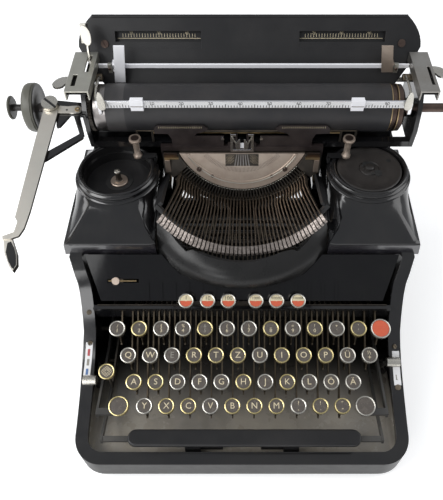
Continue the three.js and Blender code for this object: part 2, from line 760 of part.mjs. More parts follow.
const restDepth = 60; // how far the rest stands out of the segment's face
const restInner = barLength - Math.cos(restAngle) * restDepth + 2;
function typebarRest() {
  const half = basketHalfAngle + 5 * deg;
  const middle = [];
  for (let k = 0; k <= 20; k++) middle.push(arcPoint(restInner + 1.8, -half + (2 * half * k) / 20));
  const pad = plateZ(shapeOf(band(middle, 3.6)), restDepth - 4, restDepth + 1);
  const struts = [-1, 1].map((side) =>
    radial(3, restInner - 4, restInner + 3.6, ringFront + fit, restDepth, side * (half - 0.9 * deg)));
  return join(pad, struts).applyMatrix4(basketFrame);
}
piece(basket, "typebar_rest", typebarRest(), enamel);

for (const [name, side] of [["left_basket_guide", -1], ["right_basket_guide", 1]]) {
  piece(base, name, turnedSolid([
    [0, armTop + fit], [1.7, armTop + fit], [guideRodRadius, armTop + 1], [guideRodRadius, 164], [0, 165],
  ], side * guideRodX, guideRodY, 14), brass);
}

// ---------------------------------------------------------------- card holders, ribbon lift and posts
const cardBarY = [83.8, 88.2];
const cardBarZ = [167.2, 172.2];
function cardHolders() {
  const legX = [segmentHalfWidth + 0.4, segmentHalfWidth + 2.3];
  const bar = block([-legX[1], legX[1]], cardBarY, cardBarZ);
  const legs = [-1, 1].map((side) => block(across(side, ...legX), cardBarY, [armTop + fit, cardBarZ[1]]));
  const cards = [-1, 1].map((side) => {
    const outline = shapeOf([
      [16.6, 170], [64.2, 170], [64.2, 180], [66.9, 185.6], [79.2, 186], [79, 191.5], [75.8, 194.6],
      [33.9, 194.6], [30.5, 191.5], [32.2, 188.8], [40.8, 186], [43.6, 183], [16.6, 183],
    ].map(([x, z]) => [x * side, z]));
    const sheet = plateZ(outline, 0, 1.2);
    return sheet.rotateX(Math.PI / 2).translate(0, 86.2, 0);
  });
  const prongs = [-1, 1].map((side) =>
    block(across(side, 4.2, 6.4), [84, 86], [171, 186]));
  const shoulders = [-1, 1].map((side) =>
    block(across(side, 4.2, 13), [84, 86], [171, 176]));
  return join(bar, legs, cards, prongs, shoulders);
}
piece(base, "card_holders", cardHolders(), enamel);

// The lift stands behind the swing of the bars, so that its yoke clears them when it rises.
const liftY = [82.6, cardBarY[0] - fit];
const liftZ = cardBarZ[0] + fit;
function ribbonVibrator() {
  const forks = [-1, 1].map((side) =>
    block(across(side, 8, 10.6), liftY, [liftZ, 187]));
  const yoke = block([-10.6, 10.6], liftY, [liftZ, liftZ + 2]);
  const hooks = [-1, 1].map((side) =>
    block(across(side, 5.6, 10.6), liftY, [184.6, 187]));
  return join(forks, yoke, hooks);
}
piece(base, "ribbon_vibrator", ribbonVibrator(), chrome);

const postX = housingInnerX + 20;
const postY = 78;
const postFootX = housingInnerX + 3;
for (const [name, side] of [["left_ribbon_post", -1], ["right_ribbon_post", 1]]) {
  const post = turnedSolid([
    [0, 165.8], [4, 165.8], [4, 168.6], [3, 169.4], [3, 182.6], [5.4, 184], [5.4, 187.2], [0, 187.2],
  ], side * postX, postY, 14);
  const arm = block(across(side, postFootX, postX), [postY - 2.5, postY + 2.5], [165.8, 167.6]);
  const foot = block(across(side, postFootX, postFootX + 2.4), [postY - 2.5, postY + 2.5], [160, 167]);
  piece(base, name, join(post, arm, foot), bronze);
}

// ---------------------------------------------------------------- carriage
const leverPivot = new THREE.Vector3(plateLeft - 28.5, platenY - 10.5, platenZ + 9);
const leverTilt = 15 * deg;
const leverFrame = new THREE.Matrix4().makeRotationX(leverTilt).setPosition(leverPivot);
const reachToPlate = plateLeft + plateThick / 2 - leverPivot.x;

const plateBack = railBackY + 5;
function endPlate(x0, x1) {
  const side = profileX([
    [plateFront, crossRailZ], [railFrontY - 2, crossRailZ], [railFrontY - 1.4, railTop + fit],
    [plateBack, railTop + fit], [plateBack + 3, railTop + 8], [plateBack + 3, platenZ],
    [plateBack - 6, plateTop - 9], [plateBack - 2, plateTop], [plateFront + 10, plateTop],
    [plateFront + 2, plateTop - 12], [plateFront - 2, platenZ - 10],
  ], x0, x1);
  const bore = rodX(shaftRadius + fit, x0 - 1, x1 + 1, platenY, platenZ, 20);
  return cut(side, bore);
}

function carriageFrame() {
  const plates = [endPlate(plateLeft, plateLeft + plateThick), endPlate(plateRight - plateThick, plateRight)];
  const front = block([plateLeft, plateRight], [plateFront, plateFront + 7],
    [crossRailZ, crossRailZ + crossRailHeight]);
  const rear = block([plateLeft, plateRight], [railFrontY - 3, plateBack], [railTop + fit, railTop + 7]);
  // the bracket under the return lever: a strap to the end plate, and a stay that runs out below the arm
  const bracket = [
    [[-4, -7], [reachToPlate, -9], [reachToPlate, 4], [4, 7], [-4, 6]],
    [[5, -8], [18, -8], [10, -20.5], [7, -21.4]],
    [[20.2, -8], [25.5, -8], [32, -29.7], [27.8, -28.8]],
    [[-4, -49], [3.6, -45.2], [28.3, -28], [31.4, -28], [31, -32.5], [1.7, -55.1], [-4, -58]],
  ].map((points) => plateZ(shapeOf(points), -2.8, -fit).applyMatrix4(leverFrame));
  const eye = rodZ3(2.2, -2.6, 5.2, 0, 0, 16);
  const screw = rodZ3(7, 2.9, 5.4, 0, 0, 20);
  const stud = join(eye, screw).applyMatrix4(leverFrame);
  return join(plates, front, rear, bracket, stud);
}
piece(carriage, "carriage_frame", carriageFrame(), enamel);

function returnLever() {
  const arm = plateZ(shapeOf([
    [-6.5, 2], [-4, 6], [4, 6], [6.5, 2], [7.2, -8], [-4.6, -105.6], [-7.4, -121], [-10.8, -128],
    [-17, -130.5], [-23.4, -131], [-24, -128], [-15.3, -124.5], [-13.7, -115.3], [-16.1, -111], [-9, -36],
    [-5.8, -8],
  ]), 0, 2.4);
  const paddle = plateZ(shapeOf([
    [-23.6, -129], [-17, -128.5], [-10.9, -142.8], [-9.4, -152.6], [-12, -158], [-15.4, -153.8],
    [-20.5, -143],
  ]), -3.4, 1);
  const bore = rodZ3(2.2 + fit, -5, 5, 0, 0, 16);
  return cut(join(arm, paddle), bore).applyMatrix4(leverFrame);
}
piece(carriage, "return_lever", returnLever(), nickel);

// the roller with its end caps and the shaft that carries the knobs
piece(carriage, "platen", turnedX([
  [0, knobLeftX - shaftInKnob], [shaftRadius, knobLeftX - shaftInKnob], [shaftRadius, capLeft],
  [capRadius - 3, capLeft],
  [capRadius, capLeft + 2], [capRadius, platenLeft], [platenRadius, platenLeft], [platenRadius, platenRight],
  [capRadius, platenRight], [capRadius, capRight - 2], [capRadius - 3, capRight], [shaftRadius, capRight],
  [shaftRadius, knobRightX + shaftInKnob], [0, knobRightX + shaftInKnob],
], platenY, platenZ, 28), rubber);

function knob(inner, outer, ...bore) {
  const out = Math.sign(outer - inner);
  const body = turnedX([
    [0, inner], [12, inner], [knobRadius - 1.5, inner + out * 1], [knobRadius, inner + out * 3],
    [knobRadius, outer - out * 4], [knobRadius - 2, outer - out * 1], [knobRadius - 5, outer], [0, outer],
  ], platenY, platenZ, 24);
  return cut(body, bore);
}
const knobOuterLeft = knobLeftX - knobWidth;
piece(carriage, "left_knob", knob(knobLeftX, knobOuterLeft,
  rodX(shaftRadius + fit, knobLeftX - shaftInKnob - fit, knobLeftX + 1, platenY, platenZ, 20),
  rodX(3 + fit, knobOuterLeft - 1, knobOuterLeft + buttonStem + buttonTravel + fit, platenY, platenZ, 20)),
bakelite);
piece(carriage, "right_knob", knob(knobRightX, knobRightX + knobWidth,
  rodX(shaftRadius + fit, knobRightX - 1, knobRightX + shaftInKnob + fit, platenY, platenZ, 20)), bakelite);
const buttonEnd = knobOuterLeft - buttonReach;
piece(carriage, "knob_button", turnedX([
  [0, buttonEnd], [buttonRadius - 1, buttonEnd], [buttonRadius, buttonEnd + 1],
  [buttonRadius, buttonEnd + 2.4], [buttonRadius - 1, buttonEnd + 3], [3, buttonEnd + 3],
  [3, knobOuterLeft + buttonStem], [0, knobOuterLeft + buttonStem],
], platenY, platenZ, 20), bakelite);

// ---------------------------------------------------------------- paper table
const tableRun = new THREE.Vector3(0, tableSetBack, tableRise);
const tableHeight = tableRun.length();
tableRun.normalize();
const tableFrame = new THREE.Matrix4()
  .makeBasis(new THREE.Vector3(1, 0, 0), tableRun, new THREE.Vector3(1, 0, 0).cross(tableRun))
  .setPosition(0, tableFootY, tableFootZ);
function paperTable() {
  const shape = new THREE.Shape();
  const r = tableCorner;
  shape.moveTo(tableLeft + 22, 0);
  shape.lineTo(tableRight - 22, 0);
  shape.lineTo(tableRight - 4, 26);
  shape.lineTo(tableRight, 34);
  shape.quadraticCurveTo(tableRight, tableHeight - 12, tableRight - r, tableHeight);
  shape.lineTo(tableLeft + r, tableHeight);
  shape.quadraticCurveTo(tableLeft, tableHeight - 12, tableLeft, 34);
  shape.lineTo(tableLeft + 4, 26);
  const sheet = plateZ(shape, -tableSheet, 0);
  const windowLow = tableHeight - 27;
  const windows = windowX.map((x) =>
    block([x - windowWidth / 2, x + windowWidth / 2], [windowLow, windowLow + windowHeight], [-9, 9]));
  const roll = rodX(1.6, tableLeft + r, tableRight - r, tableHeight - 0.8, -tableSheet / 2, 10);
  const leaf = cut(join(sheet, roll), windows).applyMatrix4(tableFrame);
  const apronY = [tableFootY + 1.6, tableFootY + 4.8];
  const apronFoot = railTop + 7 + fit;
  const apron = profileX([
    [tableFootY + 0.3, tableFootZ - 0.5], [tableFootY + 2.6, tableFootZ + 1.4], [apronY[1], tableFootZ - 16],
    [apronY[1], apronFoot], [apronY[0], apronFoot], [apronY[0], tableFootZ - 16],
  ], plateLeft + 17, plateRight - 21);
  return join(leaf, apron);
}
piece(carriage, "paper_table", paperTable(), enamel);

function endCover(x0, x1, slots) {
  const rear = coverRear;
  const shell = cut(
    block([x0, x1], [88, rear], [plateTop + 1, coverTop]),
    block([x0 + coverSheet, x1 - coverSheet], [86, rear - coverSheet], [plateTop, coverTop - coverSheet]),
  );
  return cut(shell, slots);
}
const releaseX = plateLeft + 4.8;
const slotTop = [coverTop - 4, coverTop + 2];
piece(carriage, "left_end_cover", endCover(-151, coverInner[0], [
  block([releaseX - 1.8, releaseX + 1.8], [116, 141], slotTop),
  block([-146.5, -143], [96, 112], slotTop),
]), nickel);
piece(carriage, "right_end_cover", endCover(coverInner[1], 168, [
  block([163, 165.4], [98, 124], slotTop),
]), nickel);

piece(carriage, "guide_bar", block([coverInner[0] + fit, coverInner[1] - fit],
  [guideBarY - 1, guideBarY + 1], [guideBarZ - guideBarHeight / 2, guideBarZ + guideBarHeight / 2]), chrome);

function sideGuide(x0, x1, low, high) {
  const body = block([x0, x1], [guideBarY - 3.2, guideBarY + 3.2], [guideBarZ - 5.4, guideBarZ + 5.4]);
  const channel = block([x0 - 1, x1 + 1], [guideBarY - 1 - fit, guideBarY + 1 + fit],
    [guideBarZ - guideBarHeight / 2 - fit, guideBarZ + guideBarHeight / 2 + fit]);
  const face = block([x0, x1], [guideBarY - 4.4, guideBarY - 3], [low, high]);
  return cut(join(body, face), channel);
}
piece(carriage, "left_side_guide", sideGuide(-117, -106, guideBarZ - 16, guideBarZ + 14), chrome);
piece(carriage, "right_side_guide", sideGuide(125, 137, guideBarZ - 10, guideBarZ + 10), nickel);

// ---------------------------------------------------------------- paper bail
function paperBail() {
  const bar = block([bailLeft, bailRight], [bailBarY - 0.8, bailBarY + 0.8],
    [bailBarZ - bailBarHeight / 2, bailBarZ + bailBarHeight / 2]);
  const arms = [bailLeft - 1.6, bailRight].map((x) => {
    const bow = new THREE.QuadraticBezierCurve(
      new THREE.Vector2(bailBarY - 1, bailBarZ), new THREE.Vector2(bailBarY + 16, bailBarZ + 16),
      new THREE.Vector2(bailPivotY, bailPivotZ));
    return profileX(band(bow.getPoints(6).map((p) => [p.x, p.y]), 3.4), x, x + 1.6);
  });
  const hubs = [rodX(3.6, bailLeft - 9.6, bailLeft + 2, bailPivotY, bailPivotZ, 14),
    rodX(3.6, bailRight - 1, bailRight + 8.6, bailPivotY, bailPivotZ, 14)];
  const thumbs = [bailLeft + 2.5, bailRight - 3].map((x) =>
    rodY(3.6, bailBarY - 3, bailBarY + 1, x, bailBarZ + 7, 14));
  const stalks = [bailLeft + 2.5, bailRight - 3].map((x) =>
    block([x - 3, x + 3], [bailBarY - 2.4, bailBarY + 0.6], [bailBarZ - 3, bailBarZ + 6]));
  return join(bar, arms, hubs, thumbs, stalks);
}
piece(carriage, "paper_bail", paperBail(), chrome);

function bailClip(x) {
  const body = block([x - 5.6, x + 5.6], [bailBarY - 2.4, bailBarY + 2.4], [bailBarZ - 5.4, bailBarZ + 5.4]);
  const channel = block([x - 9, x + 9], [bailBarY - 0.8 - fit, bailBarY + 0.8 + fit],
    [bailBarZ - bailBarHeight / 2 - fit, bailBarZ + bailBarHeight / 2 + fit]);
  return cut(body, channel);
}
piece(carriage, "left_bail_clip", bailClip(-91), chrome);
piece(carriage, "right_bail_clip", bailClip(100), chrome);

// ---------------------------------------------------------------- release levers
const releasePivot = { y: platenY + 37, z: platenZ + 4 };
function paperRelease() {
  const shaft = rodX(2.4, plateLeft + plateThick + fit, plateRight - plateThick - fit, releasePivot.y,
    releasePivot.z, 14);
  const from = (y, z) => [releasePivot.y + y, releasePivot.z + z];
  const blade = profileX(band([from(0, 0), from(-9, 8), from(-10, 22), from(-7, 36), from(-1, 47)], 4.4),
    releaseX - 0.7, releaseX + 0.7);
  const paddle = profileX(band([from(-5, 40), from(2, 54)], 9), releaseX - 4, releaseX + 1);
  return join(shaft, blade, paddle);
}
piece(carriage, "paper_release_lever", paperRelease(), nickel);

function kidney(side, x, y) {
  const outline = new THREE.Shape();
  outline.moveTo(0, -4);
  outline.lineTo(7, -3.4);
  outline.quadraticCurveTo(12, -4, 14, -10);
  outline.quadraticCurveTo(21, -15, 24, -7);
  outline.quadraticCurveTo(22, 5, 10, 4.6);
  outline.lineTo(0, 4);
  const blade = plateZ(outline, -0.9, 0.9);
  if (side < 0) blade.scale(-1, 1, 1);
  const hub = rodZ3(4.4, -3, 3, 0, 0, 16);
  return join(outward(blade), hub).translate(x, y, plateTop - 4);
}
piece(carriage, "left_release_lever", kidney(-1, plateLeft - 5, 124), nickel);
piece(carriage, "right_release_lever", kidney(1, plateRight + 5, 140), nickel);

// ---------------------------------------------------------------- keyboard
function keyCap(x, y, z, radius) {
  const cap = turnedSolid([
    [0, -capDepth], [radius * 0.84, -capDepth], [radius, 0], [0, 0],
  ], 0, 0, keySides);
  return cap.rotateX(capTilt).translate(x, y, z);
}

// The underside of the levers follows the slope of the keyboard, well below the caps.
function leverLevel(y) {
  return 43 + (y + 125) * 0.6;
}

function keyLever(x, y, z, rodY, level = leverLevel) {
  const rear = [[rodY + 3, 38], [30, 44]];
  const front = [[combY, level(combY)], [y - 1, level(y)]];
  const edge = band([...rear, ...front], leverHeight);
  const [lower, upper] = [edge.slice(0, edge.length / 2), edge.slice(edge.length / 2)];
  const lug = [[rodY + 3, rodZ - 3.4], [rodY - 3.4, rodZ - 3.4], [rodY - 3.4, lower[0][1] + 0.6]];
  const stem = [[y - 1.3, z - capDepth + 0.5], [y + 1.3, z - capDepth + 0.5], [y + 1.6, upper[0][1] + 1]];
  const outline = [...lug, ...lower.slice(1), ...stem, ...upper.slice(1)];
  return [profileX(outline, x - leverThick / 2, x + leverThick / 2)];
}

function keyRow(row, skipped = []) {
  const bodies = [rodX(rodRadius, fit - bearingX, bearingX - fit, row.rodY, rodZ, 8)];
  for (let i = 0; i < row.count; i++) {
    if (skipped.includes(i)) continue;
    const x = row.x + i * pitch;
    bodies.push(...keyLever(x, row.y, row.z, row.rodY));
    bodies.push(keyCap(x, row.y, row.z, keyRadius));
  }
  return join(bodies);
}
piece(keyboard, "number_row", keyRow(rows.number), keyFace);
piece(keyboard, "top_row", keyRow(rows.top), keyFace);
piece(keyboard, "home_row", keyRow(rows.home, Object.values(soloKeys)), keyFace);
piece(keyboard, "bottom_row", keyRow(rows.bottom), keyFace);

for (const [letter, place] of Object.entries(soloKeys)) {
  const x = rows.home.x + place * pitch;
  const link = profileX([[52, 42], [54.4, 42], [54.4, 96], [52, 96]], x - leverThick / 2, x + leverThick / 2);
  const bodies = [...keyLever(x, rows.home.y, rows.home.z, soloRodY), link];
  const eye = rodX(rodRadius + fit, x - 5, x + 5, soloRodY, rodZ, 12);
  const ring = rodX(rodRadius + 2.4, x - leverThick / 2, x + leverThick / 2, soloRodY, rodZ, 12);
  piece(keyboard, `key_${letter}`,
    cut(join(bodies, keyCap(x, rows.home.y, rows.home.z, keyRadius), ring), eye), keyFace);
}

function shiftKeys() {
  const { y, z } = rows.bottom;
  const bodies = [rodX(rodRadius, fit - bearingX, bearingX - fit, shiftPivot.y, shiftPivot.z, 12)];
  for (const side of [-1, 1]) {
    const arm = profileX(band([[shiftPivot.y + 3, shiftPivot.z], [-60, 44], [y - 3, 51]], leverHeight),
      side * shiftArmX - 1, side * shiftArmX + 1);
    const bridgeX = across(side, shiftKeyX - 2, shiftArmX + 1);
    const cross = block(bridgeX, [y - 3, y + 3], [50.5, 54]);
    const stem = block([side * shiftKeyX - 1.2, side * shiftKeyX + 1.2], [y - 2, y + 2],
      [53, z - capDepth + 0.5]);
    bodies.push(arm, cross, stem, keyCap(side * shiftKeyX, y, z, bigKeyRadius));
  }
  return join(bodies);
}
piece(keyboard, "shift_keys", shiftKeys(), keyFace);

piece(keyboard, "shift_lock_key", join(
  profileX(band([[lockPivot.y + 3, lockPivot.z], [lockKey.y - 2, lockPivot.z]], leverHeight),
    lockKey.x - leverThick / 2, lockKey.x + leverThick / 2),
  profileX([[lockKey.y - 2, lockPivot.z], [lockKey.y + 2, lockPivot.z],
    [lockKey.y + 1.4, lockKey.z - capDepth + 0.5], [lockKey.y - 1.4, lockKey.z - capDepth + 0.5]],
  lockKey.x - leverThick / 2, lockKey.x + leverThick / 2),
  rodX(2, fit - bearingX, lockKey.x + 1.5, lockPivot.y, lockPivot.z, 12),
  keyCap(lockKey.x, lockKey.y, lockKey.z, keyRadius),
), keyFace);

piece(keyboard, "backspace_key", join(
  keyLever(backKeyX, rows.number.y, rows.number.z, backPivotY),
  rodX(rodRadius, backKeyX - 1.6, bearingX - fit, backPivotY, rodZ, 12),
  keyCap(backKeyX, rows.number.y, rows.number.z, bigKeyRadius),
), keyFace);

piece(keyboard, "tab_keys", join(
  block([tabXs[0] - 2.2, tabXs[5] + 2.2], [combY - 2, combY + 1.6],
    [combZ + tabTravel + 1, combZ + tabTravel + 3]),
  tabXs.flatMap((x) => [
    rodZ3(tabStem, combZ - 1.8, tabZ - 3, x, combY, 6),
    keyCap(x, tabY, tabZ, tabKeyRadius),
  ]),
), keyFace);

function spaceBarBody() {
  const h = spaceBar.halfDepth;
  const beam = profileX([
    [-h, -6], [h, -6], [h, -2], [h - 1.5, -0.6], [h / 2, 0], [-h / 2, 0], [1.5 - h, -0.6], [-h, -2],
  ], spaceBar.x0, spaceBar.x1);
  const roundEnds = new THREE.Shape();
  roundEnds.absarc(spaceBar.x1 - h, 0, h, -Math.PI / 2, Math.PI / 2, false);
  roundEnds.absarc(spaceBar.x0 + h, 0, h, Math.PI / 2, 1.5 * Math.PI, false);
  const parts = [common(beam, plateZ(roundEnds, -9, 3)).translate(0, spaceBar.y, spaceBar.top)];
  for (const side of [-1, 1]) {
    const near = side < 0 ? spaceBar.x0 + 30 : spaceBar.x1 - 30;
    const crossX = side < 0 ? [-spaceArmX - 1, near] : [near, spaceArmX + 1];
    parts.push(block(crossX, [spaceBar.y - 1, spaceBar.y + 4], [39.5, 42]));
    parts.push(block([near, near + 4], [spaceBar.y - 1, spaceBar.y + 4], [40, 46]));
    parts.push(profileX(band([[spacePivot.y + 3, spacePivot.z], [-110, 33], [spaceBar.y - 1, 40.5]], 5),
      side * spaceArmX - 1, side * spaceArmX + 1));
    parts.push(rodX(2, ...across(side, spaceArmX - 1, bearingX - fit), spacePivot.y, spacePivot.z, 12));
  }
  return join(parts);
}
piece(keyboard, "space_bar", spaceBarBody(), enamel);

// ---------------------------------------------------------------- small levers beside the keyboard
for (const { name, side, knobY, knobZ, pivotY } of smallLevers) {
  const parts = [
    profileX(band([[pivotY, smallPivotZ], [knobY, knobZ]], 4), ...across(side, smallBladeX, smallBladeX + 1.6)),
    rodX(2.4, ...across(side, smallBladeX, bearingX - fit), pivotY, smallPivotZ, 12),
    rodX(4.4, ...across(side, smallBladeX - 1, smallKnobEnd), knobY, knobZ, 16),
  ];
  piece(keyboard, name, join(parts), nickel);
}

export default typewriter;
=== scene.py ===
"""The desk typewriter's looks: finer pieces and finishes around the fixed frame. Lengths are in
millimetres until a piece is made. The finished meshes are in metres, in the frame's own axes."""

import json
import math

import bmesh
import bpy
from mathutils import Matrix, Vector


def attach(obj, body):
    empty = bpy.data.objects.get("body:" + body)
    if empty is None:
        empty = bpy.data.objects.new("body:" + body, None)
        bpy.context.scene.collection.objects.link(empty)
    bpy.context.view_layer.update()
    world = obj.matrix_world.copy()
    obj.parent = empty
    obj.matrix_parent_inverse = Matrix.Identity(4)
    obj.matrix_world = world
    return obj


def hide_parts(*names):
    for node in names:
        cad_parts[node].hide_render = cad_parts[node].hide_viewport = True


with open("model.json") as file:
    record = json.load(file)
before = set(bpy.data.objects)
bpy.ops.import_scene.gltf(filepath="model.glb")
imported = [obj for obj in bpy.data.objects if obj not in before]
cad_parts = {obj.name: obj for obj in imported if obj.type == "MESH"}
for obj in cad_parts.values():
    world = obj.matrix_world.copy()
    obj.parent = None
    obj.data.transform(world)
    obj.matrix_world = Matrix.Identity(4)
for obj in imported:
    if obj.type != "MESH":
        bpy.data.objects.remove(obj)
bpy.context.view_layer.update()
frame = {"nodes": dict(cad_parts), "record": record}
nodes = frame["nodes"]

MM = 0.001
PITCH = 19.05


# ------------------------------------------------------------------ shared effects for the finishes
def add_node(tree, kind, inputs=None, **values):
    """A node with its settings. An input is linked where a socket is given, and set otherwise."""
    node = tree.nodes.new(kind)
    for key, value in values.items():
        setattr(node, key, value)
    for key, value in (inputs or {}).items():
        if isinstance(value, bpy.types.NodeSocket):
            tree.links.new(value, node.inputs[key])
        else:
            node.inputs[key].default_value = value
    return node


def maths(tree, operation, *values):
    return add_node(tree, "ShaderNodeMath", dict(enumerate(values)), operation=operation).outputs[0]


def new_group(name, inputs, outputs):
    """An empty group, and the sockets that bring its inputs in."""
    group = bpy.data.node_groups.new(name, "ShaderNodeTree")
    for label, kind, value in inputs:
        socket = group.interface.new_socket(label, in_out="INPUT", socket_type="NodeSocket" + kind)
        socket.default_value = value
    for label, kind in outputs:
        group.interface.new_socket(label, in_out="OUTPUT", socket_type="NodeSocket" + kind)
    return group, group.nodes.new("NodeGroupInput").outputs


SPECKS = 7.0  # how much finer the specks are than the patches


def patchy_group():
    """Slow change of tone over a surface, with finer specks, as old paint and plating have."""
    group, given = new_group("patchy_tone", [
        ("Colour", "Color", (0.5, 0.5, 0.5, 1)), ("Aged colour", "Color", (0.3, 0.3, 0.3, 1)),
        ("Scale", "Float", 30.0), ("Age", "Float", 0.5), ("Roughness", "Float", 0.3),
        ("Spread", "Float", 0.1),
    ], [("Colour", "Color"), ("Roughness", "Float")])
    where = add_node(group, "ShaderNodeTexCoord").outputs["Object"]
    broad = add_node(group, "ShaderNodeTexNoise", {
        "Vector": where, "Scale": given["Scale"], "Detail": 6.0, "Roughness": 0.65})
    patches = add_node(group, "ShaderNodeMapRange", {
        "Value": broad.outputs["Fac"], "From Min": 0.38, "From Max": 0.68})
    amount = maths(group, "MULTIPLY", patches.outputs["Result"], given["Age"])
    mix = add_node(group, "ShaderNodeMix", {
        "Factor": amount, "A": given["Colour"], "B": given["Aged colour"]}, data_type="RGBA")
    fine = add_node(group, "ShaderNodeTexNoise", {
        "Vector": where, "Scale": maths(group, "MULTIPLY", given["Scale"], SPECKS), "Detail": 3.0})
    centred = maths(group, "SUBTRACT", fine.outputs["Fac"], 0.5)
    total = maths(group, "ADD", centred, amount)
    rough = maths(group, "MULTIPLY_ADD", total, given["Spread"], given["Roughness"])
    add_node(group, "NodeGroupOutput", {"Colour": mix.outputs["Result"], "Roughness": rough})
    return group


def grain_group():
    """Height of fine brushing that runs one way, or of an even orange peel where Along is 1s."""
    group, given = new_group("fine_grain", [
        ("Scale", "Float", 900.0), ("Along", "Vector", (1.0, 1.0, 1.0)), ("Deep", "Float", 0.2),
    ], [("Height", "Float")])
    where = add_node(group, "ShaderNodeTexCoord").outputs["Object"]
    squeeze = add_node(group, "ShaderNodeVectorMath", {0: where, 1: given["Along"]},
                       operation="MULTIPLY")
    noise = add_node(group, "ShaderNodeTexNoise", {
        "Vector": squeeze.outputs[0], "Scale": given["Scale"], "Detail": 2.0})
    add_node(group, "NodeGroupOutput", {
        "Height": maths(group, "MULTIPLY", noise.outputs["Fac"], given["Deep"])})
    return group


PATCHY = patchy_group()
GRAIN = grain_group()
GRAIN_STRENGTH = 0.25
GRAIN_DEPTH = 0.0002  # in metres


def finish(name, colour, aged, rough, metal=0.0, scale=30.0, age=0.5, spread=0.12, grain=900.0,
           along=(1, 1, 1), deep=0.15, coat=0.0, coat_rough=0.08, specular=0.5):
    """One finish. It turns from its colour to the aged one in patches, and carries a fine grain."""
    material = bpy.data.materials.new(name)
    material.use_nodes = True
    material.diffuse_color = (*colour, 1)
    tree = material.node_tree
    tone = add_node(tree, "ShaderNodeGroup", {
        "Colour": (*colour, 1), "Aged colour": (*aged, 1), "Scale": scale, "Age": age,
        "Roughness": rough, "Spread": spread}, node_tree=PATCHY)
    marks = add_node(tree, "ShaderNodeGroup", {"Scale": grain, "Along": along, "Deep": deep},
                     node_tree=GRAIN)
    bump = add_node(tree, "ShaderNodeBump", {
        "Strength": GRAIN_STRENGTH, "Distance": GRAIN_DEPTH, "Height": marks.outputs["Height"]})
    shader = tree.nodes["Principled BSDF"].inputs
    tree.links.new(tone.outputs["Colour"], shader["Base Color"])
    tree.links.new(tone.outputs["Roughness"], shader["Roughness"])
    tree.links.new(bump.outputs["Normal"], shader["Normal"])
    shader["Metallic"].default_value = metal
    shader["Coat Weight"].default_value = coat
    shader["Coat Roughness"].default_value = coat_rough
    shader["Specular IOR Level"].default_value = specular
    return material


BRUSHED = {"grain": 1400, "along": (1, 0.1, 1), "deep": 0.4}  # brushed from front to back
ROLLED = {"grain": 1200, "along": (0.1, 1, 1), "deep": 0.4}  # turned marks of the rubber
LACQUER = {"spread": 0.1, "coat": 1.0, "coat_rough": 0.05}
OILED = {"age": 0.8, "spread": 0.25}
INK = {"age": 0.5, "spread": 0.1}

gloss_black = finish("gloss_black_enamel", (0.006, 0.006, 0.007), (0.014, 0.013, 0.012), 0.12,
                     scale=22, age=0.7, spread=0.14, grain=260, deep=0.25, coat=0.3)
mirror_black = finish("polished_black_enamel", (0.004, 0.004, 0.005), (0.008, 0.008, 0.008), 0.06,
                      scale=30, age=0.5, spread=0.06, grain=200, deep=0.15, specular=0.28)
# A duller copy of the gloss enamel for the base's front faces, so they reflect the bright floor
# less: painted shade.
front_black_painted_shade = finish("front_enamel_painted_shade", (0.012, 0.012, 0.011), (0.022, 0.022, 0.02), 0.3,
                     scale=18, age=0.7, spread=0.12, grain=400, deep=0.3, specular=0.2)
# The housings' front lips: a bluish tint and a full coat stand in for a bright reflection on them,
# a painted reflection.
lip_black_painted_reflection = finish("lip_enamel_painted_reflection", (0.012, 0.011, 0.014), (0.02, 0.019, 0.024), 0.2, scale=18,
                   age=0.6, spread=0.1, grain=260, deep=0.25, coat=1.0, specular=1.0)
shield_black = finish("shield_enamel", (0.01, 0.01, 0.01), (0.018, 0.017, 0.017), 0.26, scale=18,
                      age=0.6, spread=0.12, grain=400, deep=0.25, specular=0.3)
arm_grey = finish("shaded_arm_enamel", (0.045, 0.044, 0.042), (0.075, 0.07, 0.062), 0.34, scale=30,
                  age=0.8, spread=0.16, grain=500, deep=0.3)
satin_black = finish("satin_black_enamel", (0.011, 0.011, 0.012), (0.022, 0.021, 0.021), 0.34,
                     scale=18, age=0.6, spread=0.14, grain=700, deep=0.3, specular=0.36)
brown_black = finish("rubbed_brown_black", (0.016, 0.012, 0.012), (0.04, 0.03, 0.028), 0.3,
                     scale=60, age=0.7, spread=0.16, grain=700, deep=0.3)
# Worn enamel of the floor pan; its rear gets painted shade further down.
pan_enamel_shaded_rear = finish("worn_pan_enamel", (0.26, 0.24, 0.21), (0.4, 0.36, 0.3), 0.2, scale=14, age=0.9,
                    spread=0.2, grain=300, deep=0.3, coat=0.3)
nickel = finish("old_nickel", (0.6, 0.58, 0.53), (0.36, 0.34, 0.28), 0.24, 1.0, scale=60, age=0.45,
                spread=0.2, grain=1600, along=(1, 0.1, 1), deep=0.4)
cover_nickel = finish("dull_cover_nickel", (0.56, 0.55, 0.49), (0.4, 0.38, 0.33), 0.34, 1.0,
                      scale=40, age=0.5, spread=0.2, **BRUSHED)
shaded_nickel = finish("shaded_cover_nickel", (0.4, 0.385, 0.36), (0.27, 0.25, 0.22), 0.34, 1.0,
                       scale=40, age=0.6, spread=0.2, **BRUSHED)
lever_nickel = finish("cream_lever_nickel", (0.74, 0.71, 0.64), (0.6, 0.54, 0.48), 0.32, 1.0,
                      scale=16, age=0.5, spread=0.14, grain=1400, along=(1, 0.08, 1), deep=0.4)
chrome = finish("bright_chrome", (0.82, 0.82, 0.85), (0.6, 0.6, 0.6), 0.1, 1.0, scale=70, age=0.3,
                spread=0.12)
satin_plate = finish("satin_white_plating", (0.93, 0.93, 0.96), (0.84, 0.84, 0.86), 0.36, 0.25,
                     scale=60, age=0.3, spread=0.12)
yellow_ring = finish("yellowed_nickel", (0.68, 0.58, 0.3), (0.5, 0.4, 0.18), 0.22, 1.0, scale=160,
                     age=0.7, spread=0.2)
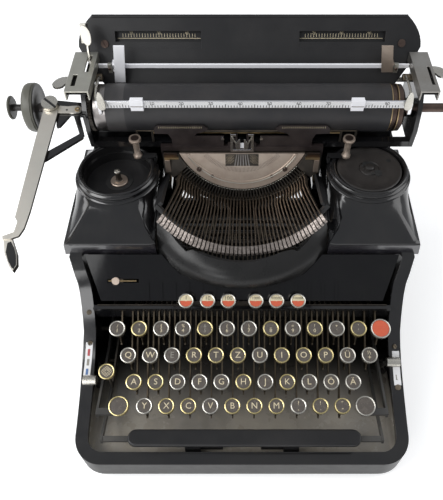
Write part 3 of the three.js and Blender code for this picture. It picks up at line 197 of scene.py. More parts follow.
brass = finish("dull_brass", (0.5, 0.37, 0.2), (0.25, 0.19, 0.12), 0.34, 1.0, scale=70, age=0.7,
               spread=0.2)
bronze = finish("tarnished_nickel", (0.47, 0.39, 0.325), (0.32, 0.245, 0.195), 0.36, 0.8, scale=30,
                age=0.8, spread=0.2, grain=1400, along=(1, 0.15, 0.15), deep=0.5)
brushed_steel = finish("brushed_steel", (0.29, 0.275, 0.27), (0.18, 0.16, 0.15), 0.26, 1.0,
                       scale=50, age=0.7, spread=0.2, grain=1400, along=(0.1, 1, 1), deep=0.5)
# Browned steel; it also paints the shade on the roller's right end.
brown_steel_and_painted_shade = finish("browned_steel_and_painted_shade", (0.13, 0.095, 0.08), (0.06, 0.042, 0.038), 0.32, 1.0,
                     scale=50, age=0.7, spread=0.2)
old_steel = finish("oiled_steel", (0.24, 0.2, 0.15), (0.1, 0.08, 0.06), 0.38, 1.0, scale=90,
                   **OILED)
lever_steel = finish("dark_lever_steel", (0.11, 0.09, 0.065), (0.045, 0.037, 0.028), 0.4, 1.0,
                     scale=90, **OILED)
bar_steel = finish("type_bar_steel", (0.2, 0.165, 0.13), (0.085, 0.068, 0.052), 0.36, 1.0,
                   scale=120, **OILED)
# Blackened steel; it also paints the shade on the return lever's side faces.
dark_steel_and_painted_shade = finish("blackened_steel_and_painted_shade", (0.05, 0.045, 0.04), (0.1, 0.085, 0.07), 0.42, 0.9, scale=80,
                    age=0.7, spread=0.2)
type_metal = finish("worn_type_metal", (0.4, 0.35, 0.32), (0.1, 0.085, 0.075), 0.28, 1.0, scale=420,
                    age=0.85, spread=0.25, grain=2500, deep=1.0)
black_rubber = finish("platen_rubber", (0.022, 0.022, 0.024), (0.042, 0.038, 0.037), 0.42, scale=26,
                      age=0.7, spread=0.12, specular=0.34, **ROLLED)
worn_rubber = finish("worn_platen_rubber", (0.032, 0.031, 0.032), (0.06, 0.056, 0.055), 0.38,
                     scale=40, age=0.7, spread=0.12, **ROLLED)
knob_plastic = finish("olive_black_plastic", (0.085, 0.083, 0.066), (0.13, 0.127, 0.105), 0.42,
                      scale=40, age=0.6, spread=0.12)
spool_plastic = finish("spool_black", (0.018, 0.016, 0.015), (0.04, 0.035, 0.032), 0.36, scale=36,
                       age=0.7, spread=0.1, grain=500)
key_face = finish("key_face_lacquer", (0.07, 0.058, 0.048), (0.11, 0.092, 0.075), 0.24, scale=260,
                  age=0.5, **LACQUER)
cream = finish("cream_ink", (0.62, 0.54, 0.37), (0.46, 0.38, 0.25), 0.5, scale=300, age=0.6,
               spread=0.1)
red_face = finish("orange_red_face", (0.58, 0.095, 0.035), (0.44, 0.065, 0.03), 0.24, scale=200,
                  age=0.5, **LACQUER)
cream_face = finish("cream_face", (0.66, 0.58, 0.39), (0.5, 0.42, 0.26), 0.26, scale=200, age=0.6,
                    **LACQUER)
scale_white = finish("scale_white", (0.78, 0.78, 0.79), (0.66, 0.65, 0.63), 0.3, scale=60, **INK)
# Black ink for print; it also paints the shade in holes and behind slots.
black_ink_and_painted_shade = finish("black_ink_and_painted_shade", (0.01, 0.01, 0.01), (0.03, 0.03, 0.03), 0.5, scale=300, **INK)
pale_ink = finish("grey_ink", (0.26, 0.245, 0.21), (0.16, 0.15, 0.13), 0.5, scale=300, **INK)
blue_ink = finish("blue_ink", (0.05, 0.13, 0.32), (0.07, 0.15, 0.3), 0.4, scale=200, **INK)
red_ink = finish("red_ink", (0.4, 0.05, 0.06), (0.3, 0.05, 0.05), 0.4, scale=200, **INK)


def darken_to_rear(material, front, rear, colour):
    """Paints shade on a finish: it turns to another colour along the machine, from one Y to
    another.
    """
    tree = material.node_tree
    base = tree.nodes["Principled BSDF"].inputs["Base Color"]
    where = add_node(tree, "ShaderNodeTexCoord").outputs["Object"]
    apart = add_node(tree, "ShaderNodeSeparateXYZ", {"Vector": where})
    slope = add_node(tree, "ShaderNodeMapRange", {
        "Value": apart.outputs["Y"], "From Min": front * MM, "From Max": rear * MM},
        interpolation_type="SMOOTHSTEP")
    mix = add_node(tree, "ShaderNodeMix", {
        "Factor": slope.outputs["Result"], "A": base.links[0].from_socket, "B": (*colour, 1)},
        data_type="RGBA")
    tree.links.new(mix.outputs["Result"], base)


# The floor pan turns near black towards the rear: painted shade under the key levers.
darken_to_rear(pan_enamel_shaded_rear, -128, -48, (0.01, 0.009, 0.008))


# ------------------------------------------------------------------ making pieces
def repeat_tree():
    """Places one part on every point of a mesh, turned and sized by the points' own values."""
    tree = bpy.data.node_groups.new("repeat_part", "GeometryNodeTree")
    tree.is_modifier = True
    face = tree.interface
    face.new_socket("Places", in_out="INPUT", socket_type="NodeSocketGeometry")
    part_in = face.new_socket("Part", in_out="INPUT", socket_type="NodeSocketObject")
    finish_in = face.new_socket("Finish", in_out="INPUT", socket_type="NodeSocketMaterial")
    sockets = {"part": part_in.identifier, "finish": finish_in.identifier}
    face.new_socket("Pieces", in_out="OUTPUT", socket_type="NodeSocketGeometry")
    given = tree.nodes.new("NodeGroupInput").outputs
    part = add_node(tree, "GeometryNodeObjectInfo", {"Object": given["Part"]},
                    transform_space="ORIGINAL")
    turn, size = (
        add_node(tree, "GeometryNodeInputNamedAttribute", {"Name": label}, data_type="FLOAT_VECTOR")
        for label in ("turn", "size"))
    rotation = add_node(tree, "FunctionNodeEulerToRotation", {"Euler": turn.outputs["Attribute"]})
    place = add_node(tree, "GeometryNodeInstanceOnPoints", {
        "Points": given["Places"], "Instance": part.outputs["Geometry"],
        "Rotation": rotation.outputs["Rotation"], "Scale": size.outputs["Attribute"]})
    real = add_node(tree, "GeometryNodeRealizeInstances", {"Geometry": place.outputs["Instances"]})
    coated = add_node(tree, "GeometryNodeSetMaterial", {
        "Geometry": real.outputs["Geometry"], "Material": given["Finish"]})
    add_node(tree, "NodeGroupOutput", {"Pieces": coated.outputs["Geometry"]})
    return tree, sockets


REPEAT, REPEAT_SOCKETS = repeat_tree()


def at(x=0.0, y=0.0, z=0.0, turn_x=0.0, turn_y=0.0, turn_z=0.0):
    """A place in millimetres, with turns in degrees: about X first, then Y, then Z."""
    place = Matrix.Translation((x, y, z))
    for angle, axis in ((turn_z, "Z"), (turn_y, "Y"), (turn_x, "X")):
        place @= Matrix.Rotation(math.radians(angle), 4, axis)
    return place


class Maker:
    """Collects solids, each with its finish, and makes them one piece of the machine."""

    def __init__(self):
        self.points, self.faces, self.marks, self.finishes = [], [], [], []

    def mark(self, material):
        if material not in self.finishes:
            self.finishes.append(material)
        return self.finishes.index(material)

    def add(self, points, faces, material, place=Matrix()):
        start = len(self.points)
        self.points += [place @ Vector(p) for p in points]
        self.faces += [[start + i for i in f] for f in faces]
        self.marks += [self.mark(material)] * len(faces)
        return self

    def lathe(self, outline, material, place=Matrix(), sides=40):
        """An outline of [radius, height] from axis to axis, or closed on itself, turned about Z."""
        open_ends = outline[0][0] < 1e-6
        rings = []
        points = []
        for r, h in outline:
            if r < 1e-6:
                rings.append([len(points)])
                points.append((0, 0, h))
                continue
            rings.append(list(range(len(points), len(points) + sides)))
            points += [(r * math.cos(2 * math.pi * i / sides),
                        r * math.sin(2 * math.pi * i / sides), h) for i in range(sides)]
        pairs = list(zip(rings, rings[1:])) + ([] if open_ends else [(rings[-1], rings[0])])
        faces = []
        for low, high in pairs:
            for i in range(sides):
                j = (i + 1) % sides
                corners = [low[i % len(low)], low[j % len(low)], high[j % len(high)],
                           high[i % len(high)]]
                faces.append(list(dict.fromkeys(corners)))
        return self.add(points, [f for f in faces if len(f) > 2], material, place)

    def prism(self, outline, low, high, material, place=Matrix()):
        """A flat [x, y] outline carried up from low to high."""
        n = len(outline)
        points = [(x, y, low) for x, y in outline] + [(x, y, high) for x, y in outline]
        sides = [[i, (i + 1) % n, n + (i + 1) % n, n + i] for i in range(n)]
        return self.add(points, [list(range(n))[::-1], list(range(n, 2 * n)), *sides], material,
                        place)

    def side(self, outline, x0, x1, material):
        """A side view of [y, z] points carried along X."""
        turn = Matrix(((0, 0, 1, 0), (1, 0, 0, 0), (0, 1, 0, 0), (0, 0, 0, 1)))
        return self.prism(outline, x0, x1, material, turn)

    def box(self, x, y, z, material, place=Matrix()):
        return self.prism([(x[0], y[0]), (x[1], y[0]), (x[1], y[1]), (x[0], y[1])], z[0], z[1],
                          material, place)

    def tube(self, path, radius, material, sides=10):
        """A round wire along a run of points."""
        run = [Vector(p) for p in path]
        points, faces = [], []
        for i, p in enumerate(run):
            ahead = (run[min(i + 1, len(run) - 1)] - run[max(i - 1, 0)]).normalized()
            aside = Vector((1, 0, 0)) if abs(ahead.x) < 0.8 else Vector((0, 1, 0))
            flat = ahead.cross(aside).normalized()
            up = ahead.cross(flat)
            points += [p + radius * (flat * math.cos(a) + up * math.sin(a))
                       for a in (2 * math.pi * k / sides for k in range(sides))]
        for i in range(len(run) - 1):
            for k in range(sides):
                j = (k + 1) % sides
                faces.append([i * sides + k, i * sides + j, (i + 1) * sides + j,
                              (i + 1) * sides + k])
        faces += [list(range(sides))[::-1], list(range(len(points) - sides, len(points)))]
        return self.add(points, faces, material)

    def rod(self, start, end, radius, material, sides=24):
        return self.tube([start, end], radius, material, sides)

    def take(self, mesh, material, place=Matrix()):
        """Faces of a finished mesh, whose lengths are in metres."""
        points = [tuple(v.co / MM) for v in mesh.vertices]
        return self.add(points, [list(f.vertices) for f in mesh.polygons], material, place)

    def words(self, text, size, material, place, thick=0.05):
        """Raised characters, centred on the place, along its X, with its Z towards the reader."""
        curve = bpy.data.curves.new("characters", "FONT")
        curve.body, curve.size, curve.extrude = text, size * MM, thick / 2 * MM
        curve.align_x, curve.align_y = "CENTER", "CENTER"
        curve.resolution_u = 3
        holder = bpy.data.objects.new("characters", curve)
        bpy.context.scene.collection.objects.link(holder)
        bpy.context.view_layer.update()
        mesh = bpy.data.meshes.new_from_object(holder)
        self.take(mesh, material, place)
        bpy.data.objects.remove(holder)
        bpy.data.curves.remove(curve)
        bpy.data.meshes.remove(mesh)
        return self

    def mesh(self, name):
        data = bpy.data.meshes.new(name)
        data.from_pydata([p * MM for p in self.points], [], self.faces)
        for material in self.finishes:
            data.materials.append(material)
        data.polygons.foreach_set("material_index", self.marks)
        tidy = bmesh.new()
        tidy.from_mesh(data)
        bmesh.ops.remove_doubles(tidy, verts=tidy.verts, dist=1e-7)
        bmesh.ops.recalc_face_normals(tidy, faces=tidy.faces)
        tidy.to_mesh(data)
        tidy.free()
        data.update()
        return data

    def repeat(self, part, material, places):
        """The same part, built about its own origin, put at every place by Geometry Nodes."""
        unit = bpy.data.objects.new("unit", part.mesh("unit"))
        carrier_mesh = bpy.data.meshes.new("places")
        carrier_mesh.from_pydata([p.translation * MM for p in places], [], [])
        for label, values in (("turn", [p.to_euler() for p in places]),
                              ("size", [p.to_scale() for p in places])):
            attribute = carrier_mesh.attributes.new(label, "FLOAT_VECTOR", "POINT")
            attribute.data.foreach_set("vector", [c for v in values for c in v])
        carrier = bpy.data.objects.new("places", carrier_mesh)
        for thing in (unit, carrier):
            bpy.context.scene.collection.objects.link(thing)
        modifier = carrier.modifiers.new("repeat", "NODES")
        modifier.node_group = REPEAT
        modifier[REPEAT_SOCKETS["part"]] = unit
        modifier[REPEAT_SOCKETS["finish"]] = material
        seen = carrier.evaluated_get(bpy.context.evaluated_depsgraph_get())
        plain = bpy.data.meshes.new_from_object(seen)
        carrier.modifiers.remove(modifier)
        self.take(plain, material)
        bpy.data.meshes.remove(plain)
        for thing in (unit, carrier):
            data = thing.data
            bpy.data.objects.remove(thing)
            bpy.data.meshes.remove(data)
        return self

    def piece(self, name, body, slot, replaces=(), bevel=0.0, smooth=38):
        return fit_piece(name, self.mesh(name), body, replaces, bevel, smooth)


CORNER = math.radians(40)  # edges that turn further than this are bevelled


def fit_piece(name, mesh, body, replaces=(), bevel=0.0, smooth=38):
    """Makes a mesh a piece of the machine. Its corners get a bevel, or else stay sharp where its
    faces meet at more than the smooth angle, in degrees."""
    thing = bpy.data.objects.new(name, mesh)
    bpy.context.scene.collection.objects.link(thing)
    mesh.shade_smooth()
    if bevel:
        edge = thing.modifiers.new("edges", "BEVEL")
        edge.width, edge.segments, edge.limit_method = bevel * MM, 2, "ANGLE"
        edge.angle_limit = CORNER
        edge.harden_normals = True
        seen = thing.evaluated_get(bpy.context.evaluated_depsgraph_get())
        bevelled = bpy.data.meshes.new_from_object(seen)
        thing.modifiers.remove(edge)
        thing.data = bevelled
        bpy.data.meshes.remove(mesh)
        bevelled.name = name
    else:
        mesh.set_sharp_from_angle(angle=math.radians(smooth))
    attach(thing, body)
    if replaces:
        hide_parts(*replaces)
    return thing


BODY_OF = {node: body for body, members in frame["record"]["behaviour"]["bodies"].items()
           for node in members}
SLOT_OF = {part["node"]: part["material_slot"] for part in frame["record"]["subparts"]}


def dress(node, material, bevel, second=None, where=None):
    """A node's own shape with a finish and its corners broken, standing for the plain node. A
    second finish covers the faces that the test picks by their middle and the way they look."""
    source = nodes[node].data.copy()
    tidy = bmesh.new()
    tidy.from_mesh(source)
    bmesh.ops.remove_doubles(tidy, verts=tidy.verts, dist=2e-6)
    bmesh.ops.dissolve_limit(tidy, angle_limit=math.radians(1.0), verts=tidy.verts,
                             edges=tidy.edges)
    tidy.to_mesh(source)
    tidy.free()
    source.materials.clear()
    source.materials.append(material)
    source.polygons.foreach_set("material_index", [0] * len(source.polygons))
    if second:
        source.materials.append(second)
        for face in source.polygons:
            face.material_index = int(where(face.center / MM, face.normal))
    for layer in list(source.attributes):
        if layer.name == "custom_normal":
            source.attributes.remove(layer)
    return fit_piece(node + "_dressed", source, BODY_OF[node], [node], bevel)


def arc(radius, start, stop, steps, x=0.0, y=0.0):
    """Points round a centre, from one angle to another in degrees."""
    angles = [math.radians(start + (stop - start) * k / steps) for k in range(steps + 1)]
    return [(x + radius * math.cos(a), y + radius * math.sin(a)) for a in angles]


def span(side, low, high):
    """The stretch from low to high on the right side, or its mirror image on the left."""
    return (low, high) if side > 0 else (-high, -low)


# ------------------------------------------------------------------ the keyboard
CAP_TILT = 14
CAP, LARGE_CAP, TAB_CAP = 7.05, 8.75, 6.75  # radii
LEVER = 1.2  # a lever's thickness
LEVER_HIGH = 5.0
FOLLOW_Y = -45.6  # the key comb, which the levers pass
KEY_ROD_Z = 32
SHAFT_END = 134.6  # of every shaft and stud, in the side walls' bosses
SHAFT, STUD = 2.5, 2  # radii


def lever_level(y):
    return 43 + (y + 125) * 0.6


def band(points, height):
    """The outline of a strip of even height along a run of points."""
    upper, lower = [], []
    for i, p in enumerate(points):
        before, after = Vector(points[max(i - 1, 0)]), Vector(points[min(i + 1, len(points) - 1)])
        along = (after - before).normalized()
        upper.append((p[0] - along.y * height / 2, p[1] + along.x * height / 2))
        lower.append((p[0] + along.y * height / 2, p[1] - along.x * height / 2))
    return upper + lower[::-1]


def lever_part(y, z, rod_y):
    """One key lever: the long thin blade, its lug on the rod and the foot of the key stem."""
    blade = band([(y - 2, lever_level(y)), (FOLLOW_Y, lever_level(FOLLOW_Y)), (30, 44),
                  (rod_y + 3, 38)], LEVER_HIGH)
    lug = [(rod_y + 3, 28.6), (rod_y - 3.4, 28.6), (rod_y - 3.4, 39), (rod_y + 3, 39)]
    foot = [(y - 2.2, lever_level(y) + 1), (y + 3, lever_level(y) + 1), (y + 2.6, z - 14),
            (y - 0.6, z - 14)]
    return [Maker().side(shape, -LEVER / 2, LEVER / 2, lever_steel) for shape in (blade, lug, foot)]


def cap_parts(radius):
    """The metal cup with its rolled ring, and the lacquered face in it."""
    cup = Maker().lathe([
        (0, -5.0), (radius * 0.55, -5.0), (radius * 0.84, -4.8), (radius * 0.97, -4.1),
        (radius, -3.2), (radius, -0.1), (radius - 0.2, 0.3), (radius - 0.7, 0.45),
        (radius - 1.2, 0.25), (radius - 1.4, -0.6), (0, -0.6),
    ], nickel, sides=40)
    face = Maker().lathe([
        (0, -0.7), (radius - 1.35, -0.7), (radius - 1.35, -0.35), (radius * 0.5, -0.12), (0, -0.05),
    ], key_face, sides=40)
    return cup, face


def add_caps(maker, xs, y, z, rings, radius=CAP, face_finish=key_face):
    """Caps with nickel (n) or yellowed (y) rings. Gives back the places of their faces."""
    cup, face = cap_parts(radius)
    places = [at(x, y, z + 0.3, turn_x=CAP_TILT) for x in xs]
    for letter, metal in (("n", nickel), ("y", yellow_ring)):
        chosen = [p for p, r in zip(places, rings) if r == letter]
        if chosen:
            maker.repeat(cup, metal, chosen)
    maker.repeat(face, face_finish, places)
    return places


def add_stems(maker, xs, y, z):
    wire = Maker().tube([(0, y + 0.6, z - 4.4), (0, y + 1.6, z - 7.5), (0.5, y + 2.6, z - 10.5),
                         (0.5, y + 2.4, z - 13), (0, y + 1.2, z - 15.5)], 0.95, nickel, 8)
    maker.repeat(wire, nickel, [at(x) for x in xs])


def key_row(node, xs, y, z, rod_y, rings, upper, lower, size, with_rod=True):
    """Levers, stems and caps of one row, with upper and lower characters on each face."""
    row = Maker()
    for shape in lever_part(y, z, rod_y):
        row.repeat(shape, lever_steel, [at(x) for x in xs])
    if with_rod:
        row.rod((-SHAFT_END, rod_y, KEY_ROD_Z), (SHAFT_END, rod_y, KEY_ROD_Z), SHAFT, dark_steel_and_painted_shade)
    places = add_caps(row, xs, y, z, rings)
    add_stems(row, xs, y, z)
    for place, high, low in zip(places, upper, lower):
        ink = pale_ink if low in "E5" else cream
        if high != " ":
            row.words(high, size * 0.62, ink, place @ at(0, 2.2, -0.08))
            row.words(low, size * 0.72, ink, place @ at(0, -2.0, -0.08))
        else:
            row.words(low, size, ink, place @ at(0, 0, -0.02))
    return row.piece(node + "_keys", BODY_OF[node], SLOT_OF[node], [node])


def spread(start, count, skipped=()):
    return [start + i * PITCH for i in range(count) if i not in skipped]


NUMBERS_Y, NUMBERS_Z = -69, 101.6
HOME_X, HOME_Y, HOME_Z = -94, -107, 75
SHIFT_Y, SHIFT_Z = -125, 65
LETTER = 7.6  # size of the characters
key_row("number_row", spread(-108.3, 12), NUMBERS_Y, NUMBERS_Z, 118, "nynnynnynyny",
        "/\"§%&()_=?+'", "1234567890´`", 6.4)
key_row("top_row", spread(-98.8, 12), -88, 88.3, 108, "nnnyyynyyynn", " " * 11 + "½",
        "QWERTZUIOPÜ+", LETTER)
key_row("home_row", spread(HOME_X, 11, (4, 5)), HOME_Y, HOME_Z, 98, "yynnnynnn", " " * 9,
        "ASDFJKLÖÄ", LETTER)
key_row("bottom_row", spread(-84.5, 10), SHIFT_Y, SHIFT_Z, 88, "nyynyyynyy", "       ?!\"",
        "YXCVBNM,.-", LETTER)
for node, place, ring, letter in (("key_g", 4, "n", "G"), ("key_h", 5, "y", "H")):
    key_row(node, [HOME_X + place * PITCH], HOME_Y, HOME_Z, 77, ring, " ", letter, LETTER,
            with_rod=False)

shift = Maker()
SHIFT_X, SHIFT_ARM_X = 106.8, 128
shift.rod((-SHAFT_END, 60, 52), (SHAFT_END, 60, 52), SHAFT, dark_steel_and_painted_shade)
for side in (-1, 1):
    x = side * SHIFT_X
    shift.side(band([(63, 52), (-60, 44), (-128, 51)], 6), side * SHIFT_ARM_X - 1,
               side * SHIFT_ARM_X + 1, arm_grey)
    shift.box(span(side, SHIFT_X - 2, SHIFT_ARM_X + 1), (SHIFT_Y - 3, SHIFT_Y + 3), (50.5, 54),
              arm_grey)
    shift.tube([(x, SHIFT_Y, 53), (x, SHIFT_Y + 1, 57), (x, SHIFT_Y, 60.5)], 1.4, nickel)
add_caps(shift, [-SHIFT_X, SHIFT_X], SHIFT_Y, SHIFT_Z, "yn", LARGE_CAP)
shift.piece("shift_pair", "shift", "key_face", ["shift_keys"])

lock = Maker()
LOCK_X, LOCK_Y, LOCK_Z = -117.4, -100, 81
for outline in (band([(-37, 54), (-102, 54)], LEVER_HIGH),
                [(-102, 54), (-98, 54), (-98.6, 70), (-101.4, 70)]):
    lock.side(outline, -118.1, -116.7, dark_steel_and_painted_shade)
lock.rod((-SHAFT_END, -40, 54), (-115.9, -40, 54), STUD, dark_steel_and_painted_shade)
lock_place = add_caps(lock, [LOCK_X], LOCK_Y, LOCK_Z, "y")[0]
add_stems(lock, [LOCK_X], LOCK_Y, LOCK_Z)
# a lattice of two sets of lines, shorter towards the edge of the face
line = Maker().box((-4.4, 4.4), (-0.16, 0.16), (-0.06, 0.06), cream)
lock.repeat(line, cream, [lock_place @ at(0, 0, -0.12) @ at(turn_z=t) @ at(0, k * 1.6, 0)
                          @ Matrix.Diagonal((math.sqrt(1 - (k / 3.2) ** 2), 1, 1, 1))
                          for t in (45, -45) for k in (-2, -1, 0, 1, 2)])
lock.piece("shift_lock", "shift_lock", "key_face", ["shift_lock_key"])

back = Maker()
BACK_X, BACK_ROD_Y = 120.4, 70
for shape in lever_part(NUMBERS_Y, NUMBERS_Z, BACK_ROD_Y):
    back.repeat(shape, lever_steel, [at(BACK_X)])
back.rod((BACK_X - 1.6, BACK_ROD_Y, KEY_ROD_Z), (SHAFT_END, BACK_ROD_Y, KEY_ROD_Z), SHAFT,
         dark_steel_and_painted_shade)
add_caps(back, [BACK_X], NUMBERS_Y, NUMBERS_Z, "n", LARGE_CAP, red_face)
add_stems(back, [BACK_X], NUMBERS_Y, NUMBERS_Z)
back.piece("back_key", "backspace", "key_face", ["backspace_key"])

tabs = Maker()
tab_xs = (-48.8, -30, -12, 12, 30, 48.8)
tabs.box((-51, 51), (-47.6, -44), (105, 107), dark_steel_and_painted_shade)
stem = Maker().rod((0, FOLLOW_Y, 98.2), (0, FOLLOW_Y, 110.6), 1.2, nickel, 12)
tabs.repeat(stem, nickel, [at(x) for x in tab_xs])
tab_places = add_caps(tabs, tab_xs, -48.5, 114, "nnnnnn", TAB_CAP, cream_face)
tabs.repeat(Maker().prism(arc(5.2, 0, -180, 16), -0.32, -0.06, red_face), red_face, tab_places)
for digits, (place, size) in enumerate(zip(tab_places, (5.0, 5.0, 5.0, 3.6, 3.6, 2.9))):
    tabs.words(str(10 ** digits), size, black_ink_and_painted_shade, place @ at(0, 2.4, -0.1))
tabs.piece("tabulator_keys", "tabs", "key_face", ["tab_keys"])


def rounded(x0, x1, y0, y1, radius, steps=8):
    """A rectangle's outline with round corners."""
    corners = ((x1 - radius, y1 - radius), (x0 + radius, y1 - radius), (x0 + radius, y0 + radius),
               (x1 - radius, y0 + radius))
    return [point for k, (x, y) in enumerate(corners)
            for point in arc(radius, 90 * k, 90 * (k + 1), steps, x, y)]


SPACE_ARM_X, SPACE_PIVOT = 123.5, (-60, 26.5)
space = Maker()
space.prism(rounded(-99.4, 103.7, -154.5, -139.5, 7.4), 44, 50, satin_black)
space.piece("space_bar_pad", "space", "enamel", bevel=1.8)
arms = Maker()
for side, near in ((-1, -69.4), (1, 73.7)):
    arms.box(sorted((near, side * (SPACE_ARM_X + 1))), (-148, -143), (39.5, 42), arm_grey)
    arms.box((near, near + 4), (-148, -143), (40, 46), dark_steel_and_painted_shade)
    arms.side(band([(-57, 26.5), (-110, 33), (-148, 40.5)], 5), side * SPACE_ARM_X - 1,
              side * SPACE_ARM_X + 1, arm_grey)
    arms.rod((side * (SPACE_ARM_X - 1), *SPACE_PIVOT), (side * SHAFT_END, *SPACE_PIVOT), STUD,
             dark_steel_and_painted_shade)
arms.piece("space_bar_arms", "space", "steel", ["space_bar"])

# ------------------------------------------------------------------ the type basket
LEAN = math.radians(20)
BASKET = Matrix.Translation((0, 88, 196)) @ Matrix.Rotation(math.pi / 2 - LEAN, 4, "X")
BAR_LENGTH = 76  # from the wire to the printing point
BAR_COUNT, SOLO_BARS = 44, (21, 22)
FAN = 50  # degrees from the middle to the last bar
BAR_REST = math.radians(100)  # how far a bar lies back from the printing point
BAR_ANGLES = [math.radians(-FAN + 2 * FAN * i / (BAR_COUNT - 1)) for i in range(BAR_COUNT)]
FACING_FRONT = Matrix.Rotation(math.pi / 2, 4, "X")


def bar_place(angle):
    return BASKET @ Matrix.Rotation(angle, 4, "Z") @ Matrix.Translation((0, -BAR_LENGTH, 0)) \
        @ Matrix.Rotation(BAR_REST, 4, "X")


def arc_run(radius, half, out, steps=60):
    """Points on a circle about the printing point, out to half degrees on each side."""
    angles = [math.radians(-half + 2 * half * k / steps) for k in range(steps + 1)]
    return [BASKET @ Vector((radius * math.sin(a), -radius * math.cos(a), out)) for a in angles]


def bar_parts(bend):
    """One type bar, lying along Y from its wire: jogged arm, and a slug with two characters."""
    half_thick = 0.55
    stations = [(-5, 0, 4.8), (4, 0, 4.4), (10, 0.15 * bend, 3.8), (17, bend, 3.2), (30, bend, 2.9),
                (55, 0.5 * bend, 2.6), (70.4, 0, 2.6)]  # each with its Y, X and height
    around = ((-1, -1), (1, -1), (1, 1), (-1, 1))
    rings = [[(x + sx * half_thick, y, sz * high / 2) for sx, sz in around]
             for y, x, high in stations]
    arm = Maker()
    for near, far in zip(rings, rings[1:]):
        arm.add(near + far, [[0, 1, 5, 4], [1, 2, 6, 5], [2, 3, 7, 6], [3, 0, 4, 7]], bar_steel)
    arm.add(rings[0], [[3, 2, 1, 0]], bar_steel)
    slug = Maker()
    wedge = ((70.2, -1.3), (77.3, 1.2), (77.8, 3.5), (70.2, 3.5))
    slug.add([(sx * 1.3, y, z) for sx in (-1, 1) for y, z in wedge],
             [[0, 1, 2, 3], [7, 6, 5, 4], [0, 4, 5, 1], [1, 5, 6, 2], [2, 6, 7, 3], [3, 7, 4, 0]],
             type_metal)
    for y in (71.8, 75.8):
        slug.box((-1.0, 1.0), (y - 1.1, y + 1.1), (3.4, 4.2), type_metal)
        slug.box((-0.35, 0.35), (y - 0.8, y + 0.8), (4.1, 4.5), type_metal)
    return arm, slug


def add_bars(maker, angles):
    for bend, low, high in ((2.2, -60, -26), (1.3, -26, -9), (0, -9, 9), (-1.3, 9, 26),
                            (-2.2, 26, 60)):
        places = [bar_place(a) for a in angles if low <= math.degrees(a) < high]
        if places:
            arm, slug = bar_parts(bend)
            maker.repeat(arm, bar_steel, places)
            maker.repeat(slug, type_metal, places)


set_bars = Maker()
add_bars(set_bars, [a for i, a in enumerate(BAR_ANGLES) if i not in SOLO_BARS])
set_bars.tube(arc_run(BAR_LENGTH, 51.2, 0), 1.0, dark_steel_and_painted_shade)
set_bars.piece("type_bar_set", "basket", "steel", ["type_bars"])
for node, index, body in zip(("typebar_g", "typebar_h"), SOLO_BARS, ("bar_g", "bar_h")):
    bar = Maker()
    add_bars(bar, [BAR_ANGLES[index]])
    bar.piece(node + "_fine", body, "steel", [node])

marks = Maker()
tick = Maker().box((-0.12, 0.12), (-48.4, -43.8), (-3.25, -3.12), black_ink_and_painted_shade)
marks.repeat(tick, black_ink_and_painted_shade, [BASKET @ at(turn_z=-47 + 94 * k / 60) for k in range(61)])
marks.piece("cover_ticks", "basket", "bronze")


def screw_part(radius, high):
    """A slotted cheese head."""
    head = Maker()
    slot = 0.16 * radius
    for side in (-1, 1):
        arc = [(side * slot, -math.sqrt(radius ** 2 - slot ** 2))]
        for k in range(1, 16):
            a = -math.pi / 2 + math.pi * k / 16
            x = radius * math.cos(a)
            if x > slot:
                arc.append((side * x, radius * math.sin(a)))
        arc.append((side * slot, math.sqrt(radius ** 2 - slot ** 2)))
        head.prism(arc, high * 0.45, high, nickel)
    head.lathe([(0, 0), (radius, 0), (radius, high * 0.45), (0, high * 0.45)], nickel, sides=30)
    return head


def screws(name, body, slot, metal, groups):
    maker = Maker()
    for radius, high, places in groups:
        maker.repeat(screw_part(radius, high), metal, places)
    return maker.piece(name, body, slot)


face_out = BASKET @ at(0, 0, -3.2)
screws("cover_screws", "basket", "bronze", brown_steel_and_painted_shade, [
    (2.4, 1.6, [face_out @ at(s * 40.3, -45, 0, turn_z=30 * s) for s in (-1, 1)]),
    (1.6, 0.9, [face_out @ at(s * 28, -52, 0, turn_z=70 * s) for s in (-1, 1)])])

fan = Maker()
fan.box((-15.5, 15.5), (-42, -30.5), (-3.2, -2.8), dark_steel_and_painted_shade, BASKET)
for k in (-2.5, -1.5, -0.5, 0.5, 1.5, 2.5):  # the guide's leaves, closer at their tops
    rib = [(2.7 * k - 0.5, -41.8), (2.7 * k + 0.5, -41.8), (1.9 * k + 0.4, -30.6),
           (1.9 * k - 0.4, -30.6)]
    fan.prism(rib, -2.9, -2.35, brushed_steel, BASKET)
hatch = Maker().box((-0.3, 0.3), (-2.6, 2.6), (-2.9, -2.5), old_steel)
hatch_places = [BASKET @ at(side * (9.4 + 2 * (k % 3)), -33 - 2.6 * (k // 3), turn_z=side * 48)
                for side in (-1, 1) for k in range(9)]
fan.repeat(hatch, old_steel, hatch_places)
# Two thin bright nickel wires on the cover's ridge and near its outer edge: painted highlight
# lines.
for radius, out, thick in ((59.4, -2.3, 0.35), (66.6, -3.1, 0.3)):
    fan.tube(arc_run(radius, 57, out), thick, cover_nickel, 8)
fan.piece("type_guide_fan", "basket", "bronze")
caps = Maker()
for side in (-1, 1):
    caps.box(span(side, 58.5, 71.6), (74, 76.9), (165.1, 166.4), brass)
    caps.box(span(side, 60, 72), (76.3, 76.9), (166.2, 171), brown_steel_and_painted_shade)
    caps.box(span(side, 66.6, 71.4), (73, 73.8), (150, 165.2), bronze)
caps.piece("guide_caps", "base", "bronze", bevel=0.15)

